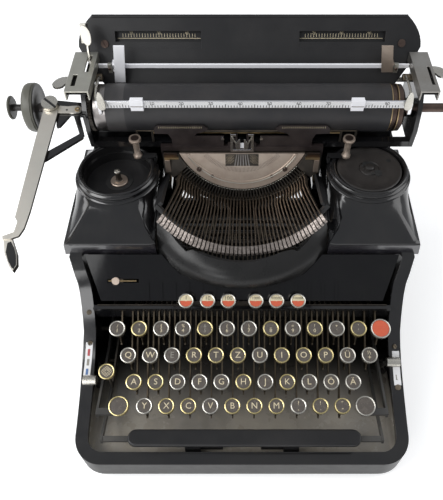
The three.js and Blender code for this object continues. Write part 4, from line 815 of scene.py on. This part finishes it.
# ------------------------------------------------------------------ base and housings
# The base's front faces take the duller enamel: painted shade.
dress("base_frame", gloss_black, 0.9, second=front_black_painted_shade,
      where=lambda middle, faces: middle.y < -150 and faces.z < 0.5)
for corner in ("front_left", "front_right", "rear_left", "rear_right"):
    dress(corner + "_foot", black_rubber, 0.5)
for node, material, bevel in (
        ("floor_pan", pan_enamel_shaded_rear, 0.6), ("rear_bridge", gloss_black, 0.5),
        ("mainspring_drum", old_steel, 0.8), ("basket_shield", shield_black, 0.35),
        ("front_plate", mirror_black, 0.3), ("ribbon_switch_knob", bronze, 0.4),
        ("key_comb", gloss_black, 0.25), ("left_basket_guide", brass, 0.2),
        ("right_basket_guide", brass, 0.2), ("card_holders", brown_black, 0.25),
        ("ribbon_vibrator", chrome, 0.2), ("ribbon_selector_lever", nickel, 0.6),
        ("touch_lever", nickel, 0.6), ("segment", dark_steel_and_painted_shade, 0.12),
        ("segment_cover", bronze, 0.3), ("typebar_rest", satin_black, 0.3),
        ("carriage_frame", gloss_black, 0.4), ("left_end_cover", cover_nickel, 0.5),
        ("right_end_cover", shaded_nickel, 0.5), ("left_bail_clip", satin_plate, 0.4),
        ("right_bail_clip", satin_plate, 0.4), ("paper_release_lever", nickel, 0.4),
        ("left_release_lever", nickel, 0.5), ("right_release_lever", nickel, 0.5),
        ("paper_table", satin_black, 0.5)):
    dress(node, material, bevel)


LEFT_CUP, RIGHT_CUP = (-114.5, 63), (116.6, 65)
HOUSING_X, HOUSING_Y = (76, 157.7), (-7, 118)
SLOPE_STEPS = 8


def housing(name, node, cup, side):
    """A ribbon housing: upright lip, top that slopes up to the round cup, beaded rim, cup floor."""
    cup_x, cup_y = cup
    x0, x1 = span(side, *HOUSING_X)
    y0, y1 = HOUSING_Y
    corners = [math.atan2(y - cup_y, x - cup_x) for x in (x0, x1) for y in (y0, y1)]
    angles = sorted([2 * math.pi * k / 96 - math.pi for k in range(96)] + corners)

    def rectangle(inset, z):
        ring = []
        for a in angles:
            dx, dy = math.cos(a), math.sin(a)
            rx = ((x1 - inset - cup_x) if dx > 0 else (x0 + inset - cup_x)) / (dx or 1e-9)
            ry = ((y1 - inset - cup_y) if dy > 0 else (y0 + inset - cup_y)) / (dy or 1e-9)
            r = min(abs(rx), abs(ry))
            ring.append((cup_x + dx * r, cup_y + dy * r, z))
        return ring

    def circle(radius, z):
        return [(cup_x + radius * math.cos(a), cup_y + radius * math.sin(a), z) for a in angles]

    lip = [(0.5, 126.8), (0, 127.4), (0.7, 138.6), (1.3, 139.1), (1.0, 139.5), (1.2, 140.2),
           (2.2, 140.7)]
    rings = [rectangle(inset, z) for inset, z in lip]
    foot, crown = rectangle(3.2, 140.8), circle(38.4, 156)
    for k in range(SLOPE_STEPS + 1):
        t = k / SLOPE_STEPS
        lift = 1.0 * (max(0.0, t - 0.75) * 4) ** 2
        rings.append([(p[0] + (q[0] - p[0]) * t, p[1] + (q[1] - p[1]) * t,
                       p[2] + (q[2] - p[2]) * t + lift) for p, q in zip(foot, crown)])
    rings += [circle(30, 157), circle(30, 140), rectangle(2.6, 137.5), rectangle(2.6, 126.8)]
    n = len(angles)
    points = [p for ring in rings for p in ring]
    faces = [[k * n + i, k * n + (i + 1) % n, ((k + 1) % len(rings)) * n + (i + 1) % n,
              ((k + 1) % len(rings)) * n + i] for k in range(len(rings)) for i in range(n)]
    shell = Maker().add(points, faces[2 * n:], gloss_black)
    # The lip faces take the enamel with the painted reflection.
    shell.add(points, faces[:2 * n], lip_black_painted_reflection)
    beads = [(30.9, 152), (38.0, 155.4), (38.6, 156.4), (38.5, 157.6), (37.4, 158.6), (36.2, 158.9),
             (35.9, 159.6), (36.3, 160.6), (36.1, 161.9), (35.0, 162.6), (34.4, 163.2),
             (34.4, 164.8), (33.9, 165.2), (32.2, 165.2), (31.4, 164.6), (31.4, 152)]
    shell.lathe(beads, gloss_black, at(cup_x, cup_y), 96)
    shell.lathe([(3.6, 146), (31.6, 146), (31.6, 148.5), (3.6, 148.5)], satin_black,
                at(cup_x, cup_y), 72)
    # A black ring round the left spindle: painted shade of the hollow round it.
    if side < 0:
        shell.lathe([(8.4, 148.4), (12.4, 148.4), (12.4, 149.0), (8.4, 149.0)], black_ink_and_painted_shade,
                    at(cup_x, cup_y), 48)
    return shell.piece(name, "base", "enamel", [node], smooth=42)


housing("left_housing", "left_spool_housing", LEFT_CUP, -1)
housing("right_housing", "right_spool_housing", RIGHT_CUP, 1)

spindle = Maker()
spindle.lathe([(0, 140.5), (3.2, 140.5), (3.2, 148.8), (8, 148.8), (8, 149.9), (7.4, 150.4),
               (4.4, 150.4), (4.4, 151.2), (0, 151.3)], bronze, at(*LEFT_CUP), 32)
spindle.lathe([(0, 151.2), (3.2, 151.3), (2.6, 152), (2.4, 160.2), (0, 160.3)], dark_steel_and_painted_shade,
              at(*LEFT_CUP), 32)
spindle.lathe([(0, 160.2), (2.6, 160.2), (2.8, 160.8), (2.8, 161.6), (2.0, 162.2), (0.8, 162.2),
               (0.8, 161.4), (0, 161.4)], nickel, at(*LEFT_CUP), 32)
spindle.piece("left_spindle", "left_spindle", "steel", ["left_spool_spindle"])

spool = Maker()
spool.lathe([(0, 140.5), (3.2, 140.5), (3.2, 148.8), (29.6, 148.8), (29.6, 150.2), (25.6, 150.8),
             (25.6, 161.2), (29.6, 161.8), (29.6, 162.9), (29.2, 163.2), (27.4, 163.2),
             (27.0, 162.9), (9.6, 162.9), (9.2, 162.2), (8.6, 162.2), (8.2, 162.9), (6.4, 163.1),
             (4.2, 163.2), (4.0, 165.2), (3.4, 165.6), (0, 165.6)], spool_plastic, at(*RIGHT_CUP),
            72)
# Black ovals on the spool's face: painted shade of its holes.
hole = Maker().lathe([(0, 162.88), (1, 162.88), (1, 163.24), (0, 163.24)], black_ink_and_painted_shade, sides=20)
HOLES = ((6.2, 150, 1.5, 1.2), (6.2, 40, 1.5, 1.2), (7.4, 290, 1.6, 1.3), (9.5, 320, 3.4, 4.2),
         (6.5, 95, 5.2, 2.4), (21.5, 28, 2.0, 1.7))  # distance, angle, half width, half height
hole_places = []
for reach, angle, wide, high in HOLES:
    x, y = arc(reach, angle, angle, 1, *RIGHT_CUP)[0]
    hole_places.append(at(x, y) @ Matrix.Diagonal((wide, high, 1, 1)))
spool.repeat(hole, black_ink_and_painted_shade, hole_places)
spool.piece("right_spool", "right_spool", "rubber", ["right_ribbon_spool"])

trim = Maker()
trim.box((-119, -94), (-28.3, -27.2), (114.7, 115.5), brass)
trim.box((-129.6, 129.6), (-44.1, -43.1), (97.6, 100.8), dark_steel_and_painted_shade)
for side in (-1, 1):
    trim.box(span(side, 37, 50.5), (-152, -147), (22.1, 33.8), satin_black)
    trim.box(span(side, 17, 37), (-149.5, -147), (25, 33), satin_black)
trim.piece("front_trim", "base", "enamel", bevel=0.15)
flanges = Maker()
cove = [(-133.6, 22.1), (-135.2, 22.6), (-136.6, 24.2), (-137.6, 27), (-138.1, 31), (-138.3, 34),
        (-139.2, 34), (-139.2, 20.5), (-133.6, 20.5)]
for side in (-1, 1):
    flanges.prism([(-side * x, z) for x, z in cove], 66, 152, pan_enamel_shaded_rear, FACING_FRONT)
flanges.piece("pan_flanges", "base", "enamel")
jaws = Maker()
for side in (-1, 1):
    jaw = [(side * x, z) for x, z in ((1.7, 169.2), (5.2, 169.2), (6.4, 175), (4.6, 178.6),
                                      (2.9, 181.4), (1.7, 181.4))]
    jaws.prism(jaw, -83.4, -82.7, chrome, FACING_FRONT)
    jaws.rod((side * 5.4, 83, 176), (side * 9.2, 83, 184.6), 0.7, nickel, 12)
jaws.piece("lift_jaws", "lift", "chrome", bevel=0.1)
cards = Maker()
shelf = [(-4.6, 170.6), (4.6, 170.6), (4.0, 174.4), (2.4, 176.6), (-2.4, 176.6), (-4.0, 174.4)]
cards.prism(shelf, -83.9, -83.65, satin_plate, FACING_FRONT)
ticks = Maker().box((-0.15, 0.15), (84.85, 85.05), (192.0, 193.8), cream)
cards.repeat(ticks, cream, [at(s * (36.4 + 1.9 * k)) for s in (-1, 1) for k in range(21)])
cards.repeat(screw_part(1.5, 0.8), chrome, [at(s * 17.6, 85, 180.6, turn_x=90) for s in (-1, 1)])
cards.piece("card_marks", "base", "enamel")
POST_X, POST_Y = 96, 78
for node, side in (("left_ribbon_post", -1), ("right_ribbon_post", 1)):
    stand = at(side * POST_X, POST_Y)
    post = Maker()
    post.lathe([(0, 165.8), (4, 165.8), (4.2, 167.4), (3.8, 168.6), (3.0, 169.6), (2.8, 176),
                (3.0, 182.2), (4.2, 183.2), (5.4, 184.4), (5.6, 185.8), (5.2, 187.2), (3.8, 187.2),
                (3.2, 186.0), (0, 185.8)], bronze, stand, 36)
    post.lathe([(0, 187.1), (3.6, 187.1), (3.6, 187.3), (0, 187.3)], brown_steel_and_painted_shade, stand, 30)
    foot_y = (POST_Y - 2.5, POST_Y + 2.5)
    post.box(span(side, 79, POST_X), foot_y, (165.8, 167.6), satin_black)
    post.box(span(side, 79, 81.4), foot_y, (160, 167), satin_black)
    post.piece(node + "_fine", "base", "bronze", [node])

RAIL_RUN = ((-66.1, 72.5), (-71.7, 68.0), (-75.4, 65.4), (-79.1, 62.7), (-83.0, 60.4),
            (-88.6, 57.5), (-92.6, 55.5), (-99.0, 52.8), (-103.4, 50.9))


def rail_height(y):
    """How high the side rail's top stands at a place along it."""
    for (y0, z0), (y1, z1) in zip(RAIL_RUN, RAIL_RUN[1:]):
        if y >= y1:
            break
    return z0 + (z1 - z0) * (y - y0) / (y1 - y0)


def rail_strip(maker, start, end, half, lift, material):
    """A thin strip that follows the rail, from one [x, y] place to another."""
    steps = 12
    points = []
    for k in range(steps + 1):
        x, y = (a + (b - a) * k / steps for a, b in zip(start, end))
        points += [(x + sx * half, y, rail_height(y) + up)
                   for sx, up in ((-1, -0.3), (1, -0.3), (1, lift), (-1, lift))]
    faces = [[4 * k + i, 4 * k + (i + 1) % 4, 4 * k + 4 + (i + 1) % 4, 4 * k + 4 + i]
             for k in range(steps) for i in range(4)]
    return maker.add(points, [*faces, [3, 2, 1, 0], [4 * steps + i for i in range(4)]], material)


plates = Maker()
rail_strip(plates, (-139.3, -66.4), (-141.8, -92.4), 3.1, 0.5, scale_white)  # marked in colour
for y0, y1, ink in ((-71.2, -76.2, red_ink), (-78.6, -83.6, pale_ink), (-86.2, -91, blue_ink)):
    x0, x1 = (-139.3 - 2.5 * (-66.4 - y) / 26 for y in (y0, y1))
    rail_strip(plates, (x0, y0), (x1, y1), 1.1, 0.65, ink)
rail_strip(plates, (140.4, -72.6), (141.7, -99.6), 3.2, 0.5, scale_white)
for x0, y0, x1, y1, half in ((139.6, -77.6, 141.8, -79.6, 0.45), (139.8, -82.4, 142, -80.6, 0.45),
                             (140.4, -91, 140.9, -95.4, 0.4), (140, -94.6, 142, -95.3, 0.4)):
    rail_strip(plates, (x0, y0), (x1, y1), half, 0.65, pale_ink)
plates.piece("lever_plates", "base", "enamel")
screws("rail_screws", "base", "steel", old_steel, [
    (2.2, 1.2, [at(-138.9, -66.6, 72.2, turn_x=48, turn_z=30),
                at(139.2, -69.2, 70.0, turn_x=38, turn_z=60),
                at(-138.5, -46.2, 92.4, turn_x=50, turn_z=20)]),
    (2.6, 1.3, [at(141.8, -101.2, 51.7, turn_x=22, turn_z=-30)])])

# ------------------------------------------------------------------ the carriage
LEVER_AT = Matrix.Translation((-169.5, 98.5, 205)) @ Matrix.Rotation(math.radians(15), 4, "X")
# Faces turned towards +X take the dark steel: painted shade on the lever's side away from the
# light.
dress("return_lever", lever_nickel, 0.3, second=dark_steel_and_painted_shade,
      where=lambda middle, faces: faces.x > 0.35)
strap = Maker()
strap.prism([(6.3, -8), *arc(4, -100, 100, 10, 23.9, -4.2), (15, -0.9), (6.3, -0.2)], 0.2, 1.7,
            lever_nickel, LEVER_AT)
strap.lathe([(0.9, 1.6), (2.3, 1.6), (2.1, 2.1), (1.1, 2.1)], brass, LEVER_AT @ at(23.9, -4.2), 24)
# A black disc on the strap: painted shade of one of its holes.
strap.lathe([(0, 1.6), (1.0, 1.6), (1.0, 1.8), (0, 1.8)], black_ink_and_painted_shade, LEVER_AT @ at(14.8, -4.8), 16)
pad = [(-19.4, -133.6), (-16.8, -132.4), (-13.6, -137.6), (-11.3, -143.4), (-10.0, -152.4),
       (-11.6, -156.2), (-13.2, -155), (-16.6, -149.4), (-19.6, -141.8)]
strap.prism(pad, 0.9, 1.5, gloss_black, LEVER_AT)
strap.piece("return_lever_fittings", "return", "nickel", bevel=0.15)
screws("return_lever_screw", "carriage", "nickel", nickel,
       [(7.2, 3.2, [LEVER_AT @ at(0, 0, 2.8, turn_z=50)])])
# Black sheets under the tops of the end covers: painted shade seen through their slots.
slot_shades = Maker()
slot_shades.box((-149.4, -131.6), (90, 122), (223.4, 224), black_ink_and_painted_shade)
slot_shades.box((153, 166.4), (90, 128), (223.4, 224), black_ink_and_painted_shade)
slot_shades.piece("cover_liners", "carriage", "enamel")
bar = Maker().box((-129.7, 151.1), (135, 137), (218.8, 222.8), satin_plate)
bar.piece("guide_bar_fine", "carriage", "chrome", ["guide_bar"], bevel=0.5)
for name, node, body, material, face, block, eye in (
        ("left_guide_fine", "left_side_guide", "guide_l", satin_plate,
         [(-117, 206.4), (-107.2, 206.4), (-102.4, 242.6), (-112, 242.6)], (-120.4, -117), -118.9),
        ("right_guide_fine", "right_side_guide", "guide_r", bronze,
         [(126.2, 216.8), (136.6, 216.8), (131.6, 242.6), (121.4, 242.6)], (136.6, 140.4), 138.5)):
    low, high = face[0][0] + 0.4, face[1][0]
    guide = Maker().prism(face, -133, -131.7, material, FACING_FRONT)
    guide.box((low, high), (132.6, 134.7), (223, 225), material)
    guide.box((low, high), (137.3, 139), (217, 225), material)
    guide.box((low, high), (132.6, 139), (223.2, 225), material)
    guide.box((low, high), (132.6, 139), (217, 218.8), material)
    guide.box(block, (131.2, 134.6), (216.6, 225), cover_nickel)
    guide.lathe([(0, 0), (1.4, 0), (1.4, 0.7), (1.0, 1.1), (0, 1.1)], brown_steel_and_painted_shade,
                at(eye, 131.2, 220.8, turn_x=90), 20)
    guide.piece(name, body, SLOT_OF[node], [node], bevel=0.25)

bail = Maker()
bail.box((-127, 146), (88.2, 89.8), (211, 218), chrome)
for side, x, inner in ((-1, -127.8, -120.8), (1, 146.8, 143)):
    bail.tube([(x, 128, 214), (x, 124, 217.6), (x, 116, 219.6), (x, 104, 219.6),
               (x - side * 0.6, 95, 218.2), (x - side * 1.6, 90.4, 215.4),
               (x - side * 2.6, 89, 214.4)], 1.1, nickel, 12)
    bail.rod((x - side * 1.5, 128, 214), (x + side * 8, 128, 214), 3.4, old_steel, 24)
    tab = [(inner + 3.6 * x, 214.6 + 14.6 * max(0, z) + 3.6 * min(0, z))
           for x, z in arc(1, 0, 348.75, 31)]
    bail.prism(tab, -86.1, -84.8, nickel, FACING_FRONT)
    bail.box(sorted((inner + side * 0.8, inner + side * 3.8)), (84.9, 89), (206.8, 217.6), chrome)
bail.piece("paper_bail_fine", "bail", "chrome", ["paper_bail"], bevel=0.35)
for x, body in ((-91, "bail_clip_l"), (100, "bail_clip_r")):
    crease = Maker().box((x - 5.4, x + 5.4), (86.4, 86.7), (213.4, 214), old_steel)
    crease.box((x - 5.9, x + 5.9), (86.2, 87.4), (214.4, 220), satin_plate)
    crease.piece(body + "_crease", body, "chrome", bevel=0.2)
head = [(4.4 * x, 8.2 * y) for x, y in arc(1, 0, 348.75, 31)]
lever_top = at(-135.8, 139.6, 247.4, turn_x=63.2) @ at(turn_z=13)
pads = Maker().prism(head, -0.3, 1.1, lever_nickel, lever_top)
pads.piece("paper_release_pad", BODY_OF["paper_release_lever"], "nickel", bevel=0.4)

# Turns a lathed part onto the platen's axis.
ALONG_X = Matrix.Translation((0, 109, 196)) @ Matrix.Rotation(math.pi / 2, 4, "Y")
TEETH = 44
roller = Maker()
roller.lathe([(0, -187), (4, -187), (4, -132.6), (17.4, -132.6), (19.8, -131.4), (20.4, -129.6),
              (20.4, -121), (0, -121)], brushed_steel, ALONG_X, 64)
roller.lathe([(0, -121), (21, -121), (21, -104), (0, -104)], worn_rubber, ALONG_X, 96)
roller.lathe([(0, -104), (21, -104), (21, 132), (0, 132)], black_rubber, ALONG_X, 96)
# The roller's right end takes darker steel than its left end: painted shade on the side away from
# the light.
roller.lathe([(0, 132), (20.4, 132), (20.4, 134.5), (19.2, 135), (19.2, 137), (20.4, 137.6),
              (20.4, 142.4), (17.4, 144.4), (4, 144.4), (4, 203.5), (0, 203.5)], brown_steel_and_painted_shade,
             ALONG_X, 64)
for x in (132.2, 137.8):
    roller.lathe([(20.2, x), (20.8, x), (20.8, x + 0.7), (20.2, x + 0.7)], brass, ALONG_X, 64)
teeth = []
for k in range(2 * TEETH):
    radius, angle = 20.6 if k % 2 else 18.9, math.pi * k / TEETH
    teeth.append((radius * math.cos(angle), radius * math.sin(angle)))
roller.prism(teeth, -136.4, -133.4, dark_steel_and_painted_shade, ALONG_X)
roller.piece("platen_roller", "roller", "rubber", ["platen"])


def knob(name, node, inner, outer):
    """A knob turned from its inner face out: the face, a grooved round band and the outer dish."""
    out = 1 if outer > inner else -1
    wheel = Maker()
    wheel.lathe([(0, inner), (12, inner), (12.6, inner + out * 0.5), (18.6, inner + out * 0.5),
                 (20.2, inner + out * 0.2), (20.9, inner + out * 0.6), (0, inner + out * 0.9)],
                spool_plastic, ALONG_X, 88)
    wheel.lathe([(0, inner + out * 0.8), (20.9, inner + out * 0.8), (21.3, inner + out * 1.6),
                 (20.8, inner + out * 1.9), (20.8, inner + out * 2.3), (21.5, inner + out * 2.7),
                 (21.5, inner + out * 6.2), (21.1, inner + out * 8.4), (20.2, outer - out * 1.0),
                 (18.4, outer), (11.6, outer), (11.4, outer - out * 0.8), (0, outer - out * 0.8)],
                knob_plastic, ALONG_X, 88)
    return wheel.piece(name, "roller", "bakelite", [node], smooth=45)


knob("left_platen_knob", "left_knob", -184, -195)
knob("right_platen_knob", "right_knob", 200.5, 211.5)
button = Maker()
button.lathe([(0, -211.5), (8.4, -211.5), (9.9, -211.1), (10.5, -210.3), (10.3, -209.4),
              (9.6, -208.9), (0, -208.9)], knob_plastic, ALONG_X, 64)
button.lathe([(0, -209), (9.2, -209), (9.2, -208.6), (3, -208.5), (3, -192), (0, -192)],
             spool_plastic, ALONG_X, 64)
button.piece("platen_button", "button", "bakelite", ["knob_button"], smooth=45)

guard = Maker()
guard.box((-82, 90.5), (90.3, 91.3), (181.7, 183.2), brass)
guard.rod((-96, 89.8, 185.4), (104, 89.8, 185.4), 0.35, old_steel, 8)
for x in (-96, -82, 90.5, 104):
    guard.box((x - 1, x + 1), (89.6, 91.2), (172.6, 185.8), dark_steel_and_painted_shade)
guard.box((-143.4, -141.1), (89.4, 94), (191.6, 200.4), chrome)
guard.piece("paper_guard", "carriage", "enamel", bevel=0.1)

# numbered scale on the bail, ten spaces to the inch
INCH = 25.4
SPACING = INCH / 10
SCALE_ZERO = -103.3
ruler = Maker()
ruler.box((-121, 140), (88.12, 88.2), (211.6, 217.4), scale_white)
for step, high in ((1, 2.2), (5, 3.2)):
    stroke = Maker().box((-0.3, 0.3), (88.09, 88.14), (211.8, 211.8 + high), black_ink_and_painted_shade)
    spaces = [k for k in range(-5, 95) if k % step == 0]
    ruler.repeat(stroke, black_ink_and_painted_shade, [at(SCALE_ZERO + SPACING * k) for k in spaces])
for k in range(1, 10):
    ruler.words(str(10 * k), 4.4, black_ink_and_painted_shade, at(SCALE_ZERO + INCH * k, 88.11, 215.7) @ FACING_FRONT)
ruler.piece("bail_scale", "bail", "chrome")

RUN = Vector((0, 33, 50)).normalized()
TABLE = Matrix.Translation((0, 135, 200)) @ Matrix((
    (1, 0, 0, 0), (0, RUN.y, -RUN.z, 0), (0, RUN.z, RUN.y, 0), (0, 0, 0, 1)))
rulers = Maker()
for x, middle in ((-76, 30), (91, 80)):  # one in each opening of the paper table
    rulers.box((x - 42, x + 42), (30, 50), (-7.5, -6.5), satin_black, TABLE)
    rulers.box((x - 42, x + 42), (30, 38.2), (-2.4, -0.12), satin_black, TABLE)
    rulers.box((x - 38, x + 38), (41.1, 41.6), (-6.5, -6.3), cream, TABLE)
    stroke = Maker().box((-0.22, 0.22), (42.2, 45.4), (-6.5, -6.35), cream)
    rulers.repeat(stroke, cream, [TABLE @ at(x + SPACING * k) for k in range(-13, 14)])
    for k in (-10, 0, 10):
        rulers.words(str(middle + k), 3.4, cream, TABLE @ at(x + SPACING * k, 45.6, -6.3))
rulers.piece("margin_rulers", "carriage", "enamel")
screws("table_screws", "carriage", "bronze", brown_steel_and_painted_shade, [
    (3.4, 1.2, [TABLE @ at(-124.7, 36.3, 0.1, turn_z=30), TABLE @ at(145, 37, 0.1, turn_z=100)])])

# ------------------------------------------------------------------ camera, floor and light
VIEW, FOCAL = 500, 560  # long side of the view and focal length, in one unit
SENSOR = 36
FLOOR_Z, FLOOR_HALF, FLOOR_GLOW = -0.0005, 6, 0.45
scene = bpy.context.scene
camera_data = bpy.data.cameras.new("camera")
camera_data.sensor_width = SENSOR
camera_data.lens = FOCAL / VIEW * SENSOR
camera_data.shift_x, camera_data.shift_y = -20.5 / VIEW, 40 / VIEW
camera_data.clip_start, camera_data.clip_end = 0.01, 20
camera = bpy.data.objects.new("camera", camera_data)
camera.location = (0, -0.3206, 0.5193)
camera.rotation_euler = (math.radians(35), 0, 0)
scene.collection.objects.link(camera)
scene.camera = camera

floor_mesh = bpy.data.meshes.new("floor")
corners = [(x * FLOOR_HALF, y * FLOOR_HALF, FLOOR_Z)
           for x, y in ((-1, -1), (1, -1), (1, 1), (-1, 1))]
floor_mesh.from_pydata(corners, [], [[0, 1, 2, 3]])
floor = bpy.data.objects.new("floor", floor_mesh)
scene.collection.objects.link(floor)
paper = bpy.data.materials.new("pale_floor")
paper.use_nodes = True
sheet = paper.node_tree.nodes["Principled BSDF"].inputs
sheet["Base Color"].default_value = (0.85, 0.85, 0.85, 1)
sheet["Roughness"].default_value = 0.7
sheet["Emission Color"].default_value = (1, 1, 1, 1)
ray = add_node(paper.node_tree, "ShaderNodeLightPath").outputs
seen = maths(paper.node_tree, "MAXIMUM", ray["Is Camera Ray"], ray["Is Glossy Ray"])
seen = maths(paper.node_tree, "MAXIMUM", seen, ray["Is Transmission Ray"])
glow = maths(paper.node_tree, "MULTIPLY", seen, FLOOR_GLOW)
paper.node_tree.links.new(glow, sheet["Emission Strength"])
floor_mesh.materials.append(paper)

world = bpy.data.worlds.new("studio")
world.use_nodes = True
sky = world.node_tree.nodes["Background"].inputs
sky["Color"].default_value = (0.75, 0.77, 0.8, 1)
sky["Strength"].default_value = 0.62
scene.world = world
for name, place, aim, power, wide in (
        ("window", (-1.0, -0.4, 1.0), (0, 0, 0.15), 10, 0.7),
        ("front_window", (-0.62, -1.4, 0.5), (0, 0, 0.15), 3.2, 0.5),
        ("tall_window", (-1.0, -1.45, 1.5), (-0.1, 0, 0.12), 5, 0.65),
        ("side_window", (-1.3, 0.3, 0.9), (0, 0, 0.1), 4, 0.6),
        ("fill", (1.0, 0.2, 0.9), (0, 0, 0.1), 4, 0.8)):
    light = bpy.data.lights.new(name, "AREA")
    light.energy, light.size = power, wide
    lamp = bpy.data.objects.new(name, light)
    lamp.location = place
    lamp.rotation_euler = (Vector(aim) - Vector(place)).to_track_quat("-Z", "Y").to_euler()
    scene.collection.objects.link(lamp)

scene.view_settings.view_transform = "Standard"
